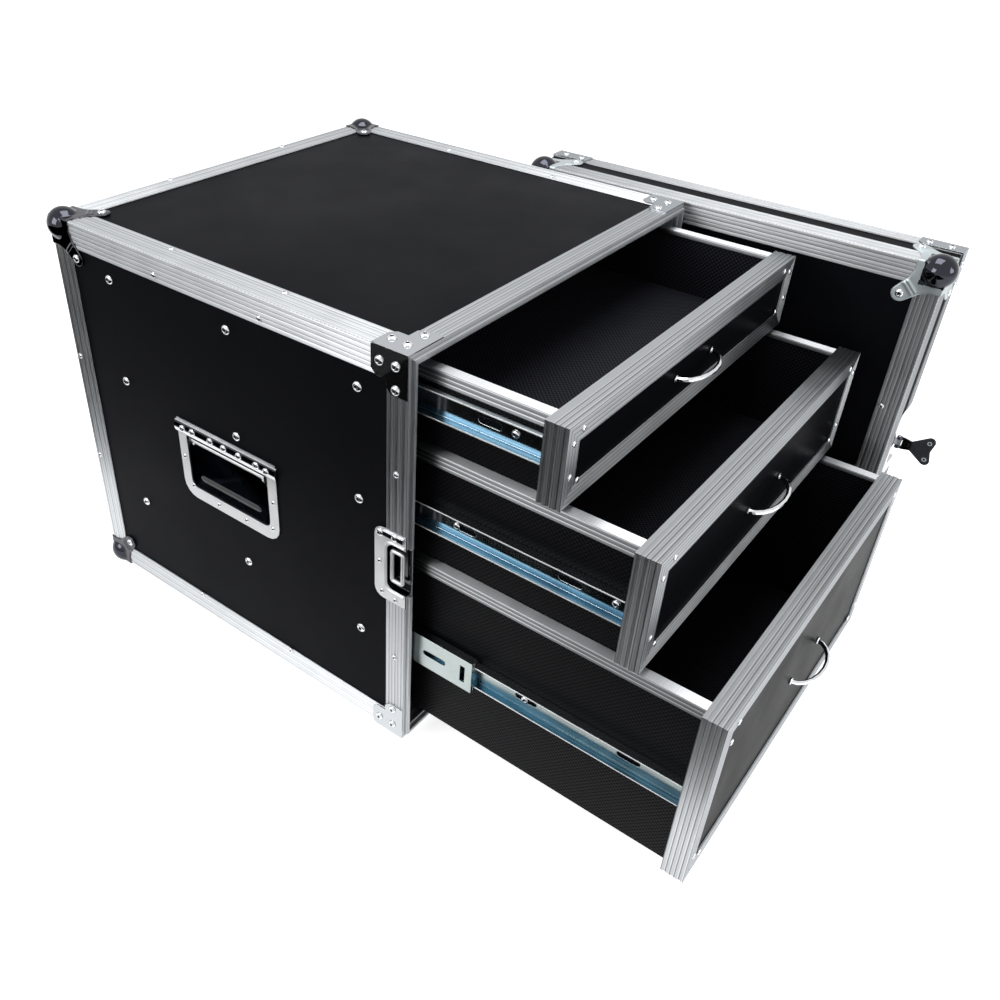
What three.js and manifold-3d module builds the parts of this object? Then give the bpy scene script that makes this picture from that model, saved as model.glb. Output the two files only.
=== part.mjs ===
// A flight case with three drawers on full-extension slides and a lift-off lid that stands beside it.
// Millimetres, +Z up. The open front faces -Y, and the lid stands upright at the +X side.
import * as THREE from 'three';
import { mergeVertices } from 'three/addons/utils/BufferGeometryUtils.js';
import Module from 'manifold-3d';

const wasm = await Module();
wasm.setup();

// Clearances and joins
const fitGap = 0.3; // between pieces that meet
const overrun = 3; // how far a cut runs past what it cuts
const bite = 0.5; // how far two shapes of one piece run into one another
const mergeDistance = 1e-4;
const pinSides = 8; // of small pins, bores and knuckles

// Case body
const caseWidth = 530;
const caseDepth = 521;
const caseHeight = 489;
const panelThickness = 9;

// Edge angles, ribbed on their outer faces
const edgeLeg = 30;
const edgeWall = 1.5;
const edgeChamfer = 1.2;
const rib = { count: 3, width: 3.2, depth: 0.55, floorShare: 0.4 };

// Front rail with the tongue that the lid fits over
const railDepth = 25;
const railWeb = 1.7;
const railInnerWall = 1.2;
const tongueInset = 4;
const tongueWidth = 4;
const tongueLength = 4;

// Corner braces of the front and of the lid's mating edge
const braceWall = 1;
const braceReach = 43;
const braceBand = 30;
const braceSideLeg = 44;
const braceTopLeg = 49;
const braceCorner = 6;

// Ball corners
const ballRadius = 19;
const ballInset = 10.5;
const ballSegments = 12;
const ballPocket = 22.5;
const plateReach = 33.5;
const plateFlank = { from: 10, inward: 36.5, narrow: 20 };
const lobeCentre = 41;
const lobeRadius = 9.5;
const lobeSegments = 3;

// Latches and their keepers: sheet dishes let into both sides of the joint
const latchHeight = 243.5;
const sheetWall = 1.2;
const dishReach = 41;
const dishHalfHeight = 46.5;
const dishCorner = 12;
const cupHalfHeight = 30.5;
const cupCorner = 8;
const keeperCupReach = 25.4;
const latchCupReach = 33;
const keeperBar = { height: 6, proud: 2, margin: 3 };
const lip = { halfHeight: 5.5, thickness: 2, height: 1.2 };
const spindleInset = 18;
const spindleRadius = 5;
const hook = { reach: 24, halfWidth: 5, hubRadius: 9, thickness: 2, claw: 2.5, above: 1.6 };
const wingHinge = { above: 2.7, tabHalf: 4, tabWidth: 3.6, knuckle: 3.6, radius: 3.4, pinRadius: 1.5 };
const wing = { reach: 41, thickness: 2.2, neck: 6, lobeHalf: 19, lobeRadius: 6, waistShare: 0.36, steps: 5 };

// Spring-back handles, recessed in the side panels
const leftHandleBack = 260.5; // from the front of the case to the middle of the handle
const rightHandleSetback = 36;
const mouth = { halfWidth: 65.5, height: 76, underSlide: 0.704947, corner: 9, depth: 20, draft: 3 };
const flange = { halfWidth: 79.5, below: 16, above: 14, corner: 20 };
const hingeBar = { halfWidth: 81.5, height: 16, underTop: 3, proud: 3 };
const pivot = { underMouth: 11.5, inset: 3.2, earWidth: 4.5, earHalf: 5, rodEnd: 63 };
const bail = { armAt: 57, rodRadius: 3.5, drop: 48, setback: 5, bend: 4, sides: 8 };
const grip = { halfLength: 52, radius: 9, endRadius: 7.4, crown: 6, sides: 14 };

// Telescopic slides: a cabinet member, a middle member and a drawer member on each side
const slideFront = 26;
const slideBackGap = 20;
const slideTravel = 240;
const runnerShort = 5;
const cabinet = { height: 53, wall: 1.6, width: 14, lip: 2.3 };
const middle = { height: 42, wall: 1.4, offset: 5, width: 15 };
const ballCage = { offset: 7, width: 4.5 };
const drawerMember = { height: 29, wall: 1.6, offset: 9, width: 19, front: 25 };
const slideSlot = { length: 26, height: 7, pitch: 118, count: 4 };
const middleSlot = { fromFront: 34, length: 30, height: 7, latchFromFront: 9, latchWidth: 6, latchHeight: 22 };

// Places of the slides on the drawers, as shares of the height of the drawer fronts
const slideShare = { bottom: 0.504, middle: 0.447, top: 0.62 };

// How far each middle member and each drawer stands out in the photograph
const bottomOut = { middle: 103.6, drawer: 235 };
const middleOut = { middle: 13, drawer: 238 };
const topOut = { middle: 0, drawer: 152.7 };

// Drawers
const frontShare = { bottom: 0.5116, middle: 0.2947, top: 0.1937 };
const frontSideGap = 6.7;
const gapUnderBottom = 9.7;
const gapOverBottom = 8.9;
const gapOverMiddle = 5.1;
const gapOverTop = 8.1;
const angleDepth = 24.4;
const angleLip = 20;
const angleWall = 1.5;
const boardThickness = 22.6;
const trayWall = 9;
const trayBackGap = 21;
const trayLift = 3;
const trimWidth = 12;
const trimDrop = 14;
const trimWall = 1.2;
const trimInnerDrop = 5;

// Pulls: a bow of round rod between two small feet, a little to the right of and below the middle of each front
const pullAside = { bottom: 12.7, middle: 5.6, top: 0.9 };
const pullBelow = { bottom: 6.9, middle: 2.7, top: -2 };
const pull = { halfSpan: 40, rod: 2.6, reach: 22, footRadius: 4.4, footHeight: 1.6, sides: 6, steps: 10 };

// Lid
const lidDepth = 72.5;
const lidLeg = 27;
const lidRailDepth = 21.5;
const lidWebBehind = 2;
const lidForward = 306.5; // how far the lid's near side stands ahead of the case front

// Places that follow from the sizes
const halfWidth = caseWidth / 2;
const panelInset = edgeWall + fitGap;
const panelFace = halfWidth - panelInset;
const panelInner = panelFace - panelThickness;
const panelEdge = panelInset + panelThickness + fitGap;
const railThickness = panelEdge + railInnerWall;
const core = panelInset + panelThickness - fitGap;
const sheetOuter = halfWidth - fitGap;
const sheetInner = sheetOuter - sheetWall;
const cupFloor = panelInner + fitGap;
const cupDepthFloor = cupFloor + sheetWall;
const cabinetLength = caseDepth - slideFront - slideBackGap;
const runnerLength = cabinetLength - runnerShort;
const cageLength = runnerLength - slideTravel;
const halfFace = halfWidth - railThickness - frontSideGap;
const trayHalf = panelInner - drawerMember.width - fitGap;
const trayBack = caseDepth - trayBackGap;
const ballProud = ballRadius - ballInset;
const lidStand = lidDepth + ballProud + fitGap; // the lid's balls stand against the side of the case

// The drawer fronts share the height of the opening, less the gaps between them.
const stackFloor = railThickness + gapUnderBottom;
const stackRoof = caseHeight - railThickness - gapOverTop;
const fronts = stackRoof - stackFloor - gapOverBottom - gapOverMiddle;
const bottomHeight = fronts * frontShare.bottom;
const middleHeight = fronts * frontShare.middle;
const topHeight = fronts * frontShare.top;
const middleFloor = stackFloor + bottomHeight + gapOverBottom;
const topFloor = middleFloor + middleHeight + gapOverMiddle;
const drawers = [
  { name: 'bottom', floor: stackFloor, height: bottomHeight, out: bottomOut },
  { name: 'middle', floor: middleFloor, height: middleHeight, out: middleOut },
  { name: 'top', floor: topFloor, height: topHeight, out: topOut },
];
const slideCentre = ({ name, floor, height }) => floor + height * slideShare[name];

// The handles lie under the cabinet members of the middle drawer's slides.
const mouthTop = slideCentre(drawers[1]) - cabinet.height / 2 - mouth.underSlide;
const mouthBottom = mouthTop - mouth.height;
const flangeTop = mouthTop + flange.above;
const flangeBottom = mouthBottom - flange.below;
const barTop = flangeTop - hingeBar.underTop;
const barBottom = barTop - hingeBar.height;
const pivotHeight = mouthTop - pivot.underMouth;

// Looks
const look = (color, roughness, metalness) => new THREE.MeshStandardMaterial({ color, roughness, metalness });
const laminate = look(0x222428, 0.55, 0);
const satin = look(0xb9bcc0, 0.38, 0.9);
const zinc = look(0xa4a8ad, 0.3, 0.95);
const chrome = look(0xd8dade, 0.12, 1);
const darkChrome = look(0x5a5d62, 0.18, 1);
const rubber = look(0x1a1a1b, 0.7, 0);
const weave = look(0x191a1b, 0.6, 0);

// Turns a closed geometry into a solid that joins and cuts, facing out whichever way it was drawn.
function solidOf(geometry) {
  const bare = geometry.clone();
  for (const name of Object.keys(bare.attributes)) if (name !== 'position') bare.deleteAttribute(name);
  const merged = mergeVertices(bare, mergeDistance);
  const vertProperties = Float32Array.from(merged.attributes.position.array);
  const triVerts = Uint32Array.from(merged.index.array);
  const made = new wasm.Manifold(new wasm.Mesh({ numProp: 3, vertProperties, triVerts }));
  if (made.volume() > 0) return made;
  return new wasm.Manifold(new wasm.Mesh({ numProp: 3, vertProperties, triVerts: triVerts.reverse() }));
}

// Turns a solid back into a flat-shaded geometry.
function geometryOf(solid) {
  const { numProp, vertProperties, triVerts } = solid.getMesh();
  const points = new Float32Array(triVerts.length * 3);
  triVerts.forEach((v, i) => points.set(vertProperties.subarray(v * numProp, v * numProp + 3), i * 3));
  const geometry = new THREE.BufferGeometry().setAttribute('position', new THREE.BufferAttribute(points, 3));
  geometry.computeVertexNormals();
  return geometry;
}

const mirrored = (solid) => solidOf(geometryOf(solid).scale(-1, 1, 1));
const flipped = (solid, height) => solidOf(geometryOf(solid).scale(1, 1, -1).translate(0, 0, height));

// A block between two places along each axis.
function block([x0, x1], [y0, y1], [z0, z1]) {
  const geometry = new THREE.BoxGeometry(Math.abs(x1 - x0), Math.abs(y1 - y0), Math.abs(z1 - z0));
  return solidOf(geometry.translate((x0 + x1) / 2, (y0 + y1) / 2, (z0 + z1) / 2));
}

// Side-to-side blocks come in pairs, one at each side of the middle.
const between = (low, high) => [Math.min(low, high), Math.max(low, high)];

// Maps of a flat outline (a, b) and a third measure c to the axes of the case.
const onTop = (a, b, c) => [a, b, c];
const onFront = (a, b, c) => [a, c, b];
const onSide = (a, b, c) => [c, a, b];

// A closed surface through rings of equally many points, capped at both ends or joined into a loop.
function skin(rings, capOutline) {
  const count = rings[0].length;
  const index = [];
  const loops = capOutline ? rings.length - 1 : rings.length;
  for (let i = 0; i < loops; i++) {
    for (let j = 0; j < count; j++) {
      const a = i * count + j;
      const b = i * count + ((j + 1) % count);
      const c = ((i + 1) % rings.length) * count + j;
      const d = ((i + 1) % rings.length) * count + ((j + 1) % count);
      index.push(a, b, d, a, d, c);
    }
  }
  if (capOutline) {
    const end = (rings.length - 1) * count;
    for (const [a, b, c] of THREE.ShapeUtils.triangulateShape(capOutline, [])) {
      // The outline may run either way round, so both caps follow the direction of the walls.
      index.push(...(THREE.ShapeUtils.isClockWise(capOutline) ? [a, b, c] : [a, c, b]));
      index.push(...(THREE.ShapeUtils.isClockWise(capOutline) ? [end + a, end + c, end + b] : [end + a, end + b, end + c]));
    }
  }
  const geometry = new THREE.BufferGeometry();
  geometry.setAttribute('position', new THREE.Float32BufferAttribute(rings.flat(2), 3));
  geometry.setIndex(index);
  return solidOf(geometry);
}

// A prism of a flat outline between two places along the third measure.
function prism(outline, from, to, map) {
  const flat = outline.map((p) => new THREE.Vector2(p[0], p[1]));
  if (THREE.ShapeUtils.isClockWise(flat)) flat.reverse();
  const rings = [from, to].map((c) => flat.map((p) => map(p.x, p.y, c)));
  return skin(rings, flat);
}

// A loft between two outlines with equally many points, for drafted walls.
function loft(outlineFrom, from, outlineTo, to, map) {
  const flat = outlineFrom.map((p) => new THREE.Vector2(p[0], p[1]));
  const rings = [[outlineFrom, from], [outlineTo, to]].map(([outline, c]) => outline.map((p) => map(p[0], p[1], c)));
  return skin(rings, flat);
}

// A profile of (inset, rise) points swept along a path, with mitred corners.
function mitred(profile, path, closed, map) {
  const points = path.map((p) => new THREE.Vector2(p[0], p[1]));
  const rings = points.map((point, i) => {
    const before = i > 0 || closed ? points.at(i - 1) : null;
    const after = i < points.length - 1 || closed ? points[(i + 1) % points.length] : null;
    const inward = [];
    if (before) inward.push(point.clone().sub(before).normalize());
    if (after) inward.push(after.clone().sub(point).normalize());
    inward.forEach((d) => d.set(-d.y, d.x));
    const mitre = inward[0].clone();
    if (inward.length > 1) mitre.add(inward[1]).divideScalar(1 + inward[0].dot(inward[1]));
    return profile.map(([inset, rise]) => map(point.x + mitre.x * inset, point.y + mitre.y * inset, rise));
  });
  return skin(rings, closed ? null : profile.map((p) => new THREE.Vector2(p[0], p[1])));
}

const rectangle = (a0, a1, b0, b1) => [[a0, b0], [a1, b0], [a1, b1], [a0, b1]];

// A rectangle whose corners have their own radii, starting at (a0, b0) and going round.
function rounded(a0, a1, b0, b1, radii, segments = 4) {
  const corners = [[a0, b0, 1, 1, Math.PI], [a1, b0, -1, 1, -Math.PI / 2], [a1, b1, -1, -1, 0], [a0, b1, 1, -1, Math.PI / 2]];
  return corners.flatMap(([a, b, sa, sb, start], i) => {
    const r = radii[i];
    if (!r) return [[a, b]];
    return Array.from({ length: segments + 1 }, (_, k) => {
      const turn = start + ((Math.PI / 2) * k) / segments;
      return [a + sa * r + r * Math.cos(turn), b + sb * r + r * Math.sin(turn)];
    });
  });
}

// A round bar along one of the axes: the map puts its two flat measures and its length on the case's axes.
function bar(a, b, radius, from, to, sides, map) {
  const outline = Array.from({ length: sides }, (_, k) => {
    const turn = (2 * Math.PI * (k + 1 / 2)) / sides;
    return [a + radius * Math.cos(turn), b + radius * Math.sin(turn)];
  });
  return prism(outline, from, to, map);
}
const alongX = (a, b, c) => [c, a, b];
const alongY = (a, b, c) => [a, c, b];
const alongZ = (a, b, c) => [a, b, c];

// The ribbed outer face of an angle as places along it and depths into it.
function ribbed(from, to) {
  const pitch = (to - from) / rib.count;
  const half = (Math.sign(pitch) * rib.width) / 2;
  return Array.from({ length: rib.count }, (_, i) => from + pitch * (i + 1 / 2)).flatMap((at) => [
    [at - half, 0],
    [at - half * rib.floorShare, rib.depth],
    [at + half * rib.floorShare, rib.depth],
    [at + half, 0],
  ]);
}

// An angle section with its outer corner at the origin; the core is the solid square that backs the corner.
function angleSection(leg, coreSize) {
  const inside = coreSize > edgeWall ? [[coreSize, edgeWall], [coreSize, coreSize], [edgeWall, coreSize]] : [[edgeWall, edgeWall]];
  return [
    [edgeChamfer, 0],
    ...ribbed(edgeChamfer, leg),
    [leg, 0],
    [leg, edgeWall],
    ...inside,
    [edgeWall, leg],
    [0, leg],
    ...ribbed(leg, edgeChamfer).map(([along, deep]) => [deep, along]),
    [0, edgeChamfer],
  ];
}

// The cubes that the corner pieces take out of the case or the lid, at the given corner places.
function cornerCubes(ys) {
  const size = ballPocket + fitGap;
  return [-1, 1].flatMap((side) =>
    [0, caseHeight].flatMap((z) =>
      ys.map(([y, towards]) =>
        block(
          between(side * (halfWidth - size), side * (halfWidth + overrun)),
          between(y + towards * size, y - towards * overrun),
          z ? [caseHeight - size, caseHeight + overrun] : [-overrun, size],
        ),
      ),
    ),
  );
}
const cutAll = (solid, cuts) => cuts.reduce((left, cut) => left.subtract(cut), solid);
const joinAll = (solids) => solids.reduce((sum, next) => sum.add(next));

// Sheet dish of a latch or keeper, on the -X side, with its mating edge at y = 0.
const dishBottom = latchHeight - dishHalfHeight;
const dishTop = latchHeight + dishHalfHeight;
const dishOutline = rounded(0, dishReach, dishBottom, dishTop, [0, dishCorner, dishCorner, 0]);
const cupOutline = (reach, grow) =>
  rounded(-overrun, reach + grow, latchHeight - cupHalfHeight - grow, latchHeight + cupHalfHeight + grow, [0, cupCorner, cupCorner, 0]);
const cupSolidOutline = (reach) =>
  rounded(0, reach, latchHeight - cupHalfHeight, latchHeight + cupHalfHeight, [0, cupCorner, cupCorner, 0]);

function sheetDish(cupReach) {
  return prism(dishOutline, -sheetOuter, -sheetInner, onSide)
    .add(prism(cupSolidOutline(cupReach), -sheetOuter, -cupFloor, onSide))
    .subtract(prism(cupOutline(cupReach, -sheetWall), -sheetOuter - overrun, -cupDepthFloor, onSide));
}

// What a rail gives up for a dish: its outer leg behind the sheet, and the cup's place in its web and tongue.
function dishNotch(depth, cupReach) {
  const leg = block(
    [-halfWidth - overrun, -sheetInner + fitGap],
    [-tongueLength - overrun, depth + overrun],
    [dishBottom - fitGap, dishTop + fitGap],
  );
  return leg.add(prism(cupOutline(cupReach, fitGap).map(([a, b]) => [a - tongueLength, b]), -halfWidth - overrun, -cupFloor + fitGap, onSide));
}
const panelCupHole = (cupReach) =>
  prism(cupOutline(cupReach, fitGap), -halfWidth - overrun, -panelInner + overrun, onSide);

// The four braces of a rail, on both sides and on the top and bottom. Past the rail they run on along the
// edge angles as far as the reach, which on the shallow lid ends with the rail.
function braces(railLength, reach) {
  const plate = (leg) => {
    const alongEdge = [
      [reach - braceCorner, -fitGap - braceWall],
      [reach, 0],
      [reach, braceBand - braceCorner],
      [reach - braceCorner, braceBand],
      [railLength, braceBand],
    ];
    const outline = [
      [0, -fitGap - braceWall],
      ...(reach > railLength ? alongEdge : [[railLength, -fitGap - braceWall]]),
      [railLength, leg - braceCorner],
      [railLength - braceCorner, leg],
      [0, leg],
    ];
    const root = [[0, 0], [railLength, 0], [railLength, leg - braceCorner], [railLength - braceCorner, leg], [0, leg]];
    const raised = -fitGap - braceWall;
    return (map) => prism(outline, raised, -fitGap, map).add(prism(root, raised, bite, map));
  };
  const side = plate(braceSideLeg)((a, b, c) => [-halfWidth + c, a, b]);
  const bottom = plate(braceTopLeg)((a, b, c) => [-halfWidth + b, a, c]);
  const lowerLeft = side.add(bottom);
  const lower = lowerLeft.add(mirrored(lowerLeft));
  return lower.add(flipped(lower, caseHeight));
}

// Scene graph
const roadCase = new THREE.Group();
function addPiece(parent, name, geometry, material) {
  const mesh = new THREE.Mesh(geometry.isBufferGeometry ? geometry : geometryOf(geometry), material);
  mesh.name = name;
  parent.add(mesh);
  return mesh;
}

// Panels of the body, each let into the rail at the front and the angles at the other edges
const panelFront = railWeb + fitGap;
const backCubes = cornerCubes([[caseDepth, -1]]);
const panelBackEdge = caseDepth - panelEdge;

// Handle recess, as the outline of its mouth or of its floor, grown on all sides
const recess = (shrink, grow) =>
  rounded(
    -mouth.halfWidth + shrink - grow,
    mouth.halfWidth - shrink + grow,
    mouthBottom + shrink - grow,
    mouthTop - shrink + grow,
    [mouth.corner, mouth.corner, mouth.corner, mouth.corner],
  );
const recessFloor = panelFace - mouth.depth;
const recessSolid = (grow, deeper, beyond) =>
  loft(recess(0, grow), -panelFace, recess(mouth.draft, grow), -(recessFloor - deeper), onSide).add(
    prism(recess(0, grow), -panelFace - beyond, -panelFace + bite, onSide),
  );

// Cabinet member of a slide: a deep channel with turned-in lips, against the panel's inner face.
function cabinetMember(centre) {
  const half = cabinet.height / 2;
  const inner = half - cabinet.wall;
  const section = [
    [-bite, -half],
    [cabinet.width, -half],
    [cabinet.width, -inner + cabinet.lip],
    [cabinet.width - cabinet.wall, -inner + cabinet.lip],
    [cabinet.width - cabinet.wall, -inner],
    [cabinet.wall, -inner],
    [cabinet.wall, inner],
    [cabinet.width - cabinet.wall, inner],
    [cabinet.width - cabinet.wall, inner - cabinet.lip],
    [cabinet.width, inner - cabinet.lip],
    [cabinet.width, half],
    [-bite, half],
  ];
  return prism(section, slideFront, slideFront + cabinetLength, (u, v, y) => [-panelInner + u, y, centre + v]);
}

function sidePanel(handleMiddle) {
  const sheet = block([-panelFace, -panelInner], [panelFront, panelBackEdge], [panelEdge, caseHeight - panelEdge]);
  const hole = solidOf(geometryOf(recessSolid(sheetWall + fitGap, sheetWall + overrun, overrun)).translate(0, handleMiddle, 0));
  const cut = cutAll(sheet, [...backCubes, hole, panelCupHole(keeperCupReach)]);
  return joinAll([cut, ...drawers.map((drawer) => cabinetMember(slideCentre(drawer)))]);
}
const handleMiddles = { left: leftHandleBack, right: leftHandleBack + rightHandleSetback };
addPiece(roadCase, 'left_side_panel', sidePanel(handleMiddles.left), laminate);
addPiece(roadCase, 'right_side_panel', mirrored(sidePanel(handleMiddles.right)), laminate);

const acrossPanels = [-halfWidth + panelEdge, halfWidth - panelEdge];
const flatPanel = cutAll(block(acrossPanels, [panelFront, panelBackEdge], [panelInset, panelInset + panelThickness]), backCubes);
addPiece(roadCase, 'bottom_panel', flatPanel, laminate);
addPiece(roadCase, 'top_panel', flipped(flatPanel, caseHeight), laminate);
const backOuter = caseDepth - panelInset;
addPiece(
  roadCase,
  'back_panel',
  cutAll(block(acrossPanels, [backOuter - panelThickness, backOuter], [panelEdge, caseHeight - panelEdge]), backCubes),
  laminate,
);

// Front rail: a channel that grips the panels' front edges, with the tongue and the four braces
const openingPath = rectangle(-halfWidth, halfWidth, 0, caseHeight);
const railSection = [
  [0, 0],
  ...ribbed(0, railDepth).map(([along, deep]) => [deep, along]),
  [0, railDepth],
  [edgeWall, railDepth],
  [edgeWall, railWeb],
  [panelEdge, railWeb],
  [panelEdge, railDepth],
  [railThickness, railDepth],
  [railThickness, 0],
  [tongueInset + tongueWidth, 0],
  [tongueInset + tongueWidth, -tongueLength],
  [tongueInset, -tongueLength],
  [tongueInset, 0],
];
const keeperNotch = dishNotch(railDepth, keeperCupReach);
const frontRail = mitred(railSection, openingPath, true, onFront)
  .subtract(keeperNotch)
  .subtract(mirrored(keeperNotch))
  .add(braces(railDepth, braceReach));
addPiece(roadCase, 'front_frame', frontRail, satin);

// Back frame: the angle that goes round the back, cut off at the ball corners
const backFrame = mitred(angleSection(edgeLeg, core), openingPath, true, (a, b, c) => [a, caseDepth - c, b]);
addPiece(roadCase, 'back_frame', cutAll(backFrame, backCubes), satin);

// Long edges: one section, turned about Y for each of the four corners
const longEdge = geometryOf(
  prism(angleSection(edgeLeg, core), railDepth + fitGap, caseDepth - edgeLeg - fitGap, (a, b, c) => [a, c, b]),
);
const edges = [
  ['bottom_left_edge', -halfWidth, 0, 0],
  ['bottom_right_edge', halfWidth, 0, -Math.PI / 2],
  ['top_right_edge', halfWidth, caseHeight, Math.PI],
  ['top_left_edge', -halfWidth, caseHeight, Math.PI / 2],
];
for (const [name, x, z, turn] of edges) {
  const mesh = addPiece(roadCase, name, longEdge, satin);
  mesh.position.set(x, 0, z);
  mesh.rotation.y = turn;
}

// Ball corner, with the outer corner of the case at the origin and the case at +X, +Y and +Z. A ball fills the
// corner that the case gives up, and a plate runs from it over each of the three faces.
function ballCorner() {
  const raised = -fitGap - braceWall;
  const wide = [-fitGap, ballRadius + ballInset + overrun];
  const pocket = [raised, ballPocket];
  const inside = [core + fitGap, ballPocket + overrun];
  const ball = solidOf(new THREE.SphereGeometry(ballRadius, ballSegments, (ballSegments * 2) / 3).translate(ballInset, ballInset, ballInset))
    .subtract(block(wide, wide, wide));
  const filling = block(pocket, pocket, pocket).subtract(block(inside, inside, inside));
  const lobe = Array.from({ length: lobeSegments + 1 }, (_, k) => {
    const turn = -Math.PI / 4 + (Math.PI * k) / lobeSegments;
    return [lobeCentre + lobeRadius * Math.cos(turn), lobeCentre + lobeRadius * Math.sin(turn)];
  });
  const outline = [
    [raised, raised],
    [plateReach, raised],
    [plateReach, plateFlank.from],
    [plateFlank.inward, plateFlank.narrow],
    ...lobe,
    [plateFlank.narrow, plateFlank.inward],
    [plateFlank.from, plateReach],
    [raised, plateReach],
  ];
  const maps = [
    (a, b, c) => [c, a, b],
    (a, b, c) => [b, c, a],
    (a, b, c) => [a, b, c],
  ];
  return joinAll([ball, filling, ...maps.map((map) => prism(outline, raised, -fitGap, map))]);
}
const ballGeometry = geometryOf(ballCorner());
function addBall(parent, name, [sx, sy, sz], [x, y, z]) {
  const axes = [new THREE.Vector3(sx, 0, 0), new THREE.Vector3(0, sy, 0), new THREE.Vector3(0, 0, sz)];
  // The piece is alike about its diagonal, so a mirrored corner is a turned one with two axes exchanged.
  if (sx * sy * sz < 0) axes.reverse();
  const mesh = addPiece(parent, name, ballGeometry, chrome);
  mesh.quaternion.setFromRotationMatrix(new THREE.Matrix4().makeBasis(...axes));
  mesh.position.set(x, y, z);
}
for (const [side, sx] of [['left', 1], ['right', -1]]) {
  for (const [level, sz] of [['bottom', 1], ['top', -1]]) {
    const at = [-sx * halfWidth, caseDepth, sz > 0 ? 0 : caseHeight];
    addBall(roadCase, `back_${level}_${side}_ball_corner`, [sx, -1, sz], at);
  }
}

// Keepers: the dishes on the case, with the lip that the latch hook pulls on
const barMiddle = dishTop - keeperBar.margin - keeperBar.height;
const keeper = joinAll([
  sheetDish(keeperCupReach),
  block(
    [-sheetOuter - keeperBar.proud, -sheetOuter + bite],
    [keeperBar.margin, dishReach - dishCorner],
    [barMiddle, barMiddle + keeperBar.height],
  ),
  block(
    [-cupDepthFloor - lip.height, -cupDepthFloor + bite],
    [fitGap, fitGap + lip.thickness],
    [latchHeight - lip.halfHeight, latchHeight + lip.halfHeight],
  ),
]);
addPiece(roadCase, 'left_latch_keeper', keeper, zinc);
addPiece(roadCase, 'right_latch_keeper', mirrored(keeper), zinc);

// Handles: a drafted recess with a flange, a hinge bar and two ears that carry the bail
const flangeOutline = rounded(-flange.halfWidth, flange.halfWidth, flangeBottom, flangeTop, [flange.corner, flange.corner, edgeChamfer, edgeChamfer]);
const barCentre = (barTop + barBottom) / 2;
const barSection = Array.from({ length: pinSides }, (_, k) => {
  const turn = (Math.PI * k) / (pinSides - 1);
  return [-sheetOuter - hingeBar.proud * Math.sin(turn), barCentre + (hingeBar.height / 2) * Math.cos(turn)];
}).concat([[-sheetInner, barBottom], [-sheetInner, barTop]]);
const pivotX = -(panelFace - pivot.inset);
const earSpan = [mouth.halfWidth - pivot.earWidth, mouth.halfWidth];
const handleDish = (() => {
  const shell = prism(flangeOutline, -sheetOuter, -sheetInner, onSide)
    .add(recessSolid(sheetWall, sheetWall, fitGap + bite))
    .add(prism(barSection, -hingeBar.halfWidth, hingeBar.halfWidth, alongY))
    .subtract(recessSolid(0, 0, sheetWall + fitGap));
  const ears = [-1, 1].map((side) =>
    block(
      [pivotX - pivot.earHalf, pivotX + pivot.earHalf],
      between(side * earSpan[0], side * earSpan[1]),
      [pivotHeight - pivot.earHalf, pivotHeight + pivot.earHalf],
    ),
  );
  const bore = bar(pivotX, pivotHeight, bail.rodRadius + fitGap, -pivot.rodEnd - fitGap, pivot.rodEnd + fitGap, pinSides, alongY);
  return joinAll([shell, ...ears]).subtract(bore);
})();

// Bail: a closed loop of round rod, whose top run is the pivot and whose bottom run carries the grip
function roundedLoop(corners, bend, segments) {
  return corners.flatMap((corner, i) => {
    const before = corners.at(i - 1);
    const after = corners[(i + 1) % corners.length];
    const towards = [before, after].map((other) => other.clone().sub(corner).normalize());
    const from = corner.clone().addScaledVector(towards[0], bend);
    const to = corner.clone().addScaledVector(towards[1], bend);
    return new THREE.QuadraticBezierCurve3(from, corner, to).getPoints(segments);
  });
}
function loopTube(points, normal, radius, sides) {
  const rings = points.map((point, i) => {
    const along = points[(i + 1) % points.length].clone().sub(points.at(i - 1)).normalize();
    const out = along.clone().cross(normal);
    return Array.from({ length: sides }, (_, k) => {
      const turn = (2 * Math.PI * (k + 1 / 2)) / sides;
      return point.clone().addScaledVector(out, radius * Math.cos(turn)).addScaledVector(normal, radius * Math.sin(turn)).toArray();
    });
  });
  return skin(rings, null);
}
const gripX = pivotX + bail.setback;
const gripZ = pivotHeight - bail.drop;
const bailSolid = (() => {
  const corners = [
    new THREE.Vector3(pivotX, -bail.armAt, pivotHeight),
    new THREE.Vector3(pivotX, bail.armAt, pivotHeight),
    new THREE.Vector3(gripX, bail.armAt, gripZ),
    new THREE.Vector3(gripX, -bail.armAt, gripZ),
  ];
  const across = new THREE.Vector3(0, 1, 0);
  const normal = corners[2].clone().sub(corners[1]).normalize().cross(across);
  const loop = loopTube(roundedLoop(corners, bail.bend, 2), normal, bail.rodRadius, bail.sides);
  return loop.add(bar(pivotX, pivotHeight, bail.rodRadius, -pivot.rodEnd, pivot.rodEnd, bail.sides, alongY));
})();
const gripSolid = (() => {
  const half = grip.halfLength;
  const profile = [
    [bail.rodRadius + fitGap, -half],
    [grip.endRadius, -half],
    [grip.radius, -half + grip.crown],
    [grip.radius, half - grip.crown],
    [grip.endRadius, half],
    [bail.rodRadius + fitGap, half],
  ];
  const lathe = new THREE.LatheGeometry([...profile, profile[0]].map(([r, y]) => new THREE.Vector2(r, y)), grip.sides);
  return solidOf(lathe.translate(gripX, 0, gripZ));
})();
for (const side of ['left', 'right']) {
  const handle = new THREE.Group();
  handle.position.y = handleMiddles[side];
  const made = (solid) => (side === 'left' ? solid : mirrored(solid));
  addPiece(handle, `${side}_handle_dish`, made(handleDish), satin);
  addPiece(handle, `${side}_handle_bail`, made(bailSolid), zinc);
  addPiece(handle, `${side}_handle_grip`, made(gripSolid), rubber);
  roadCase.add(handle);
}

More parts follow.
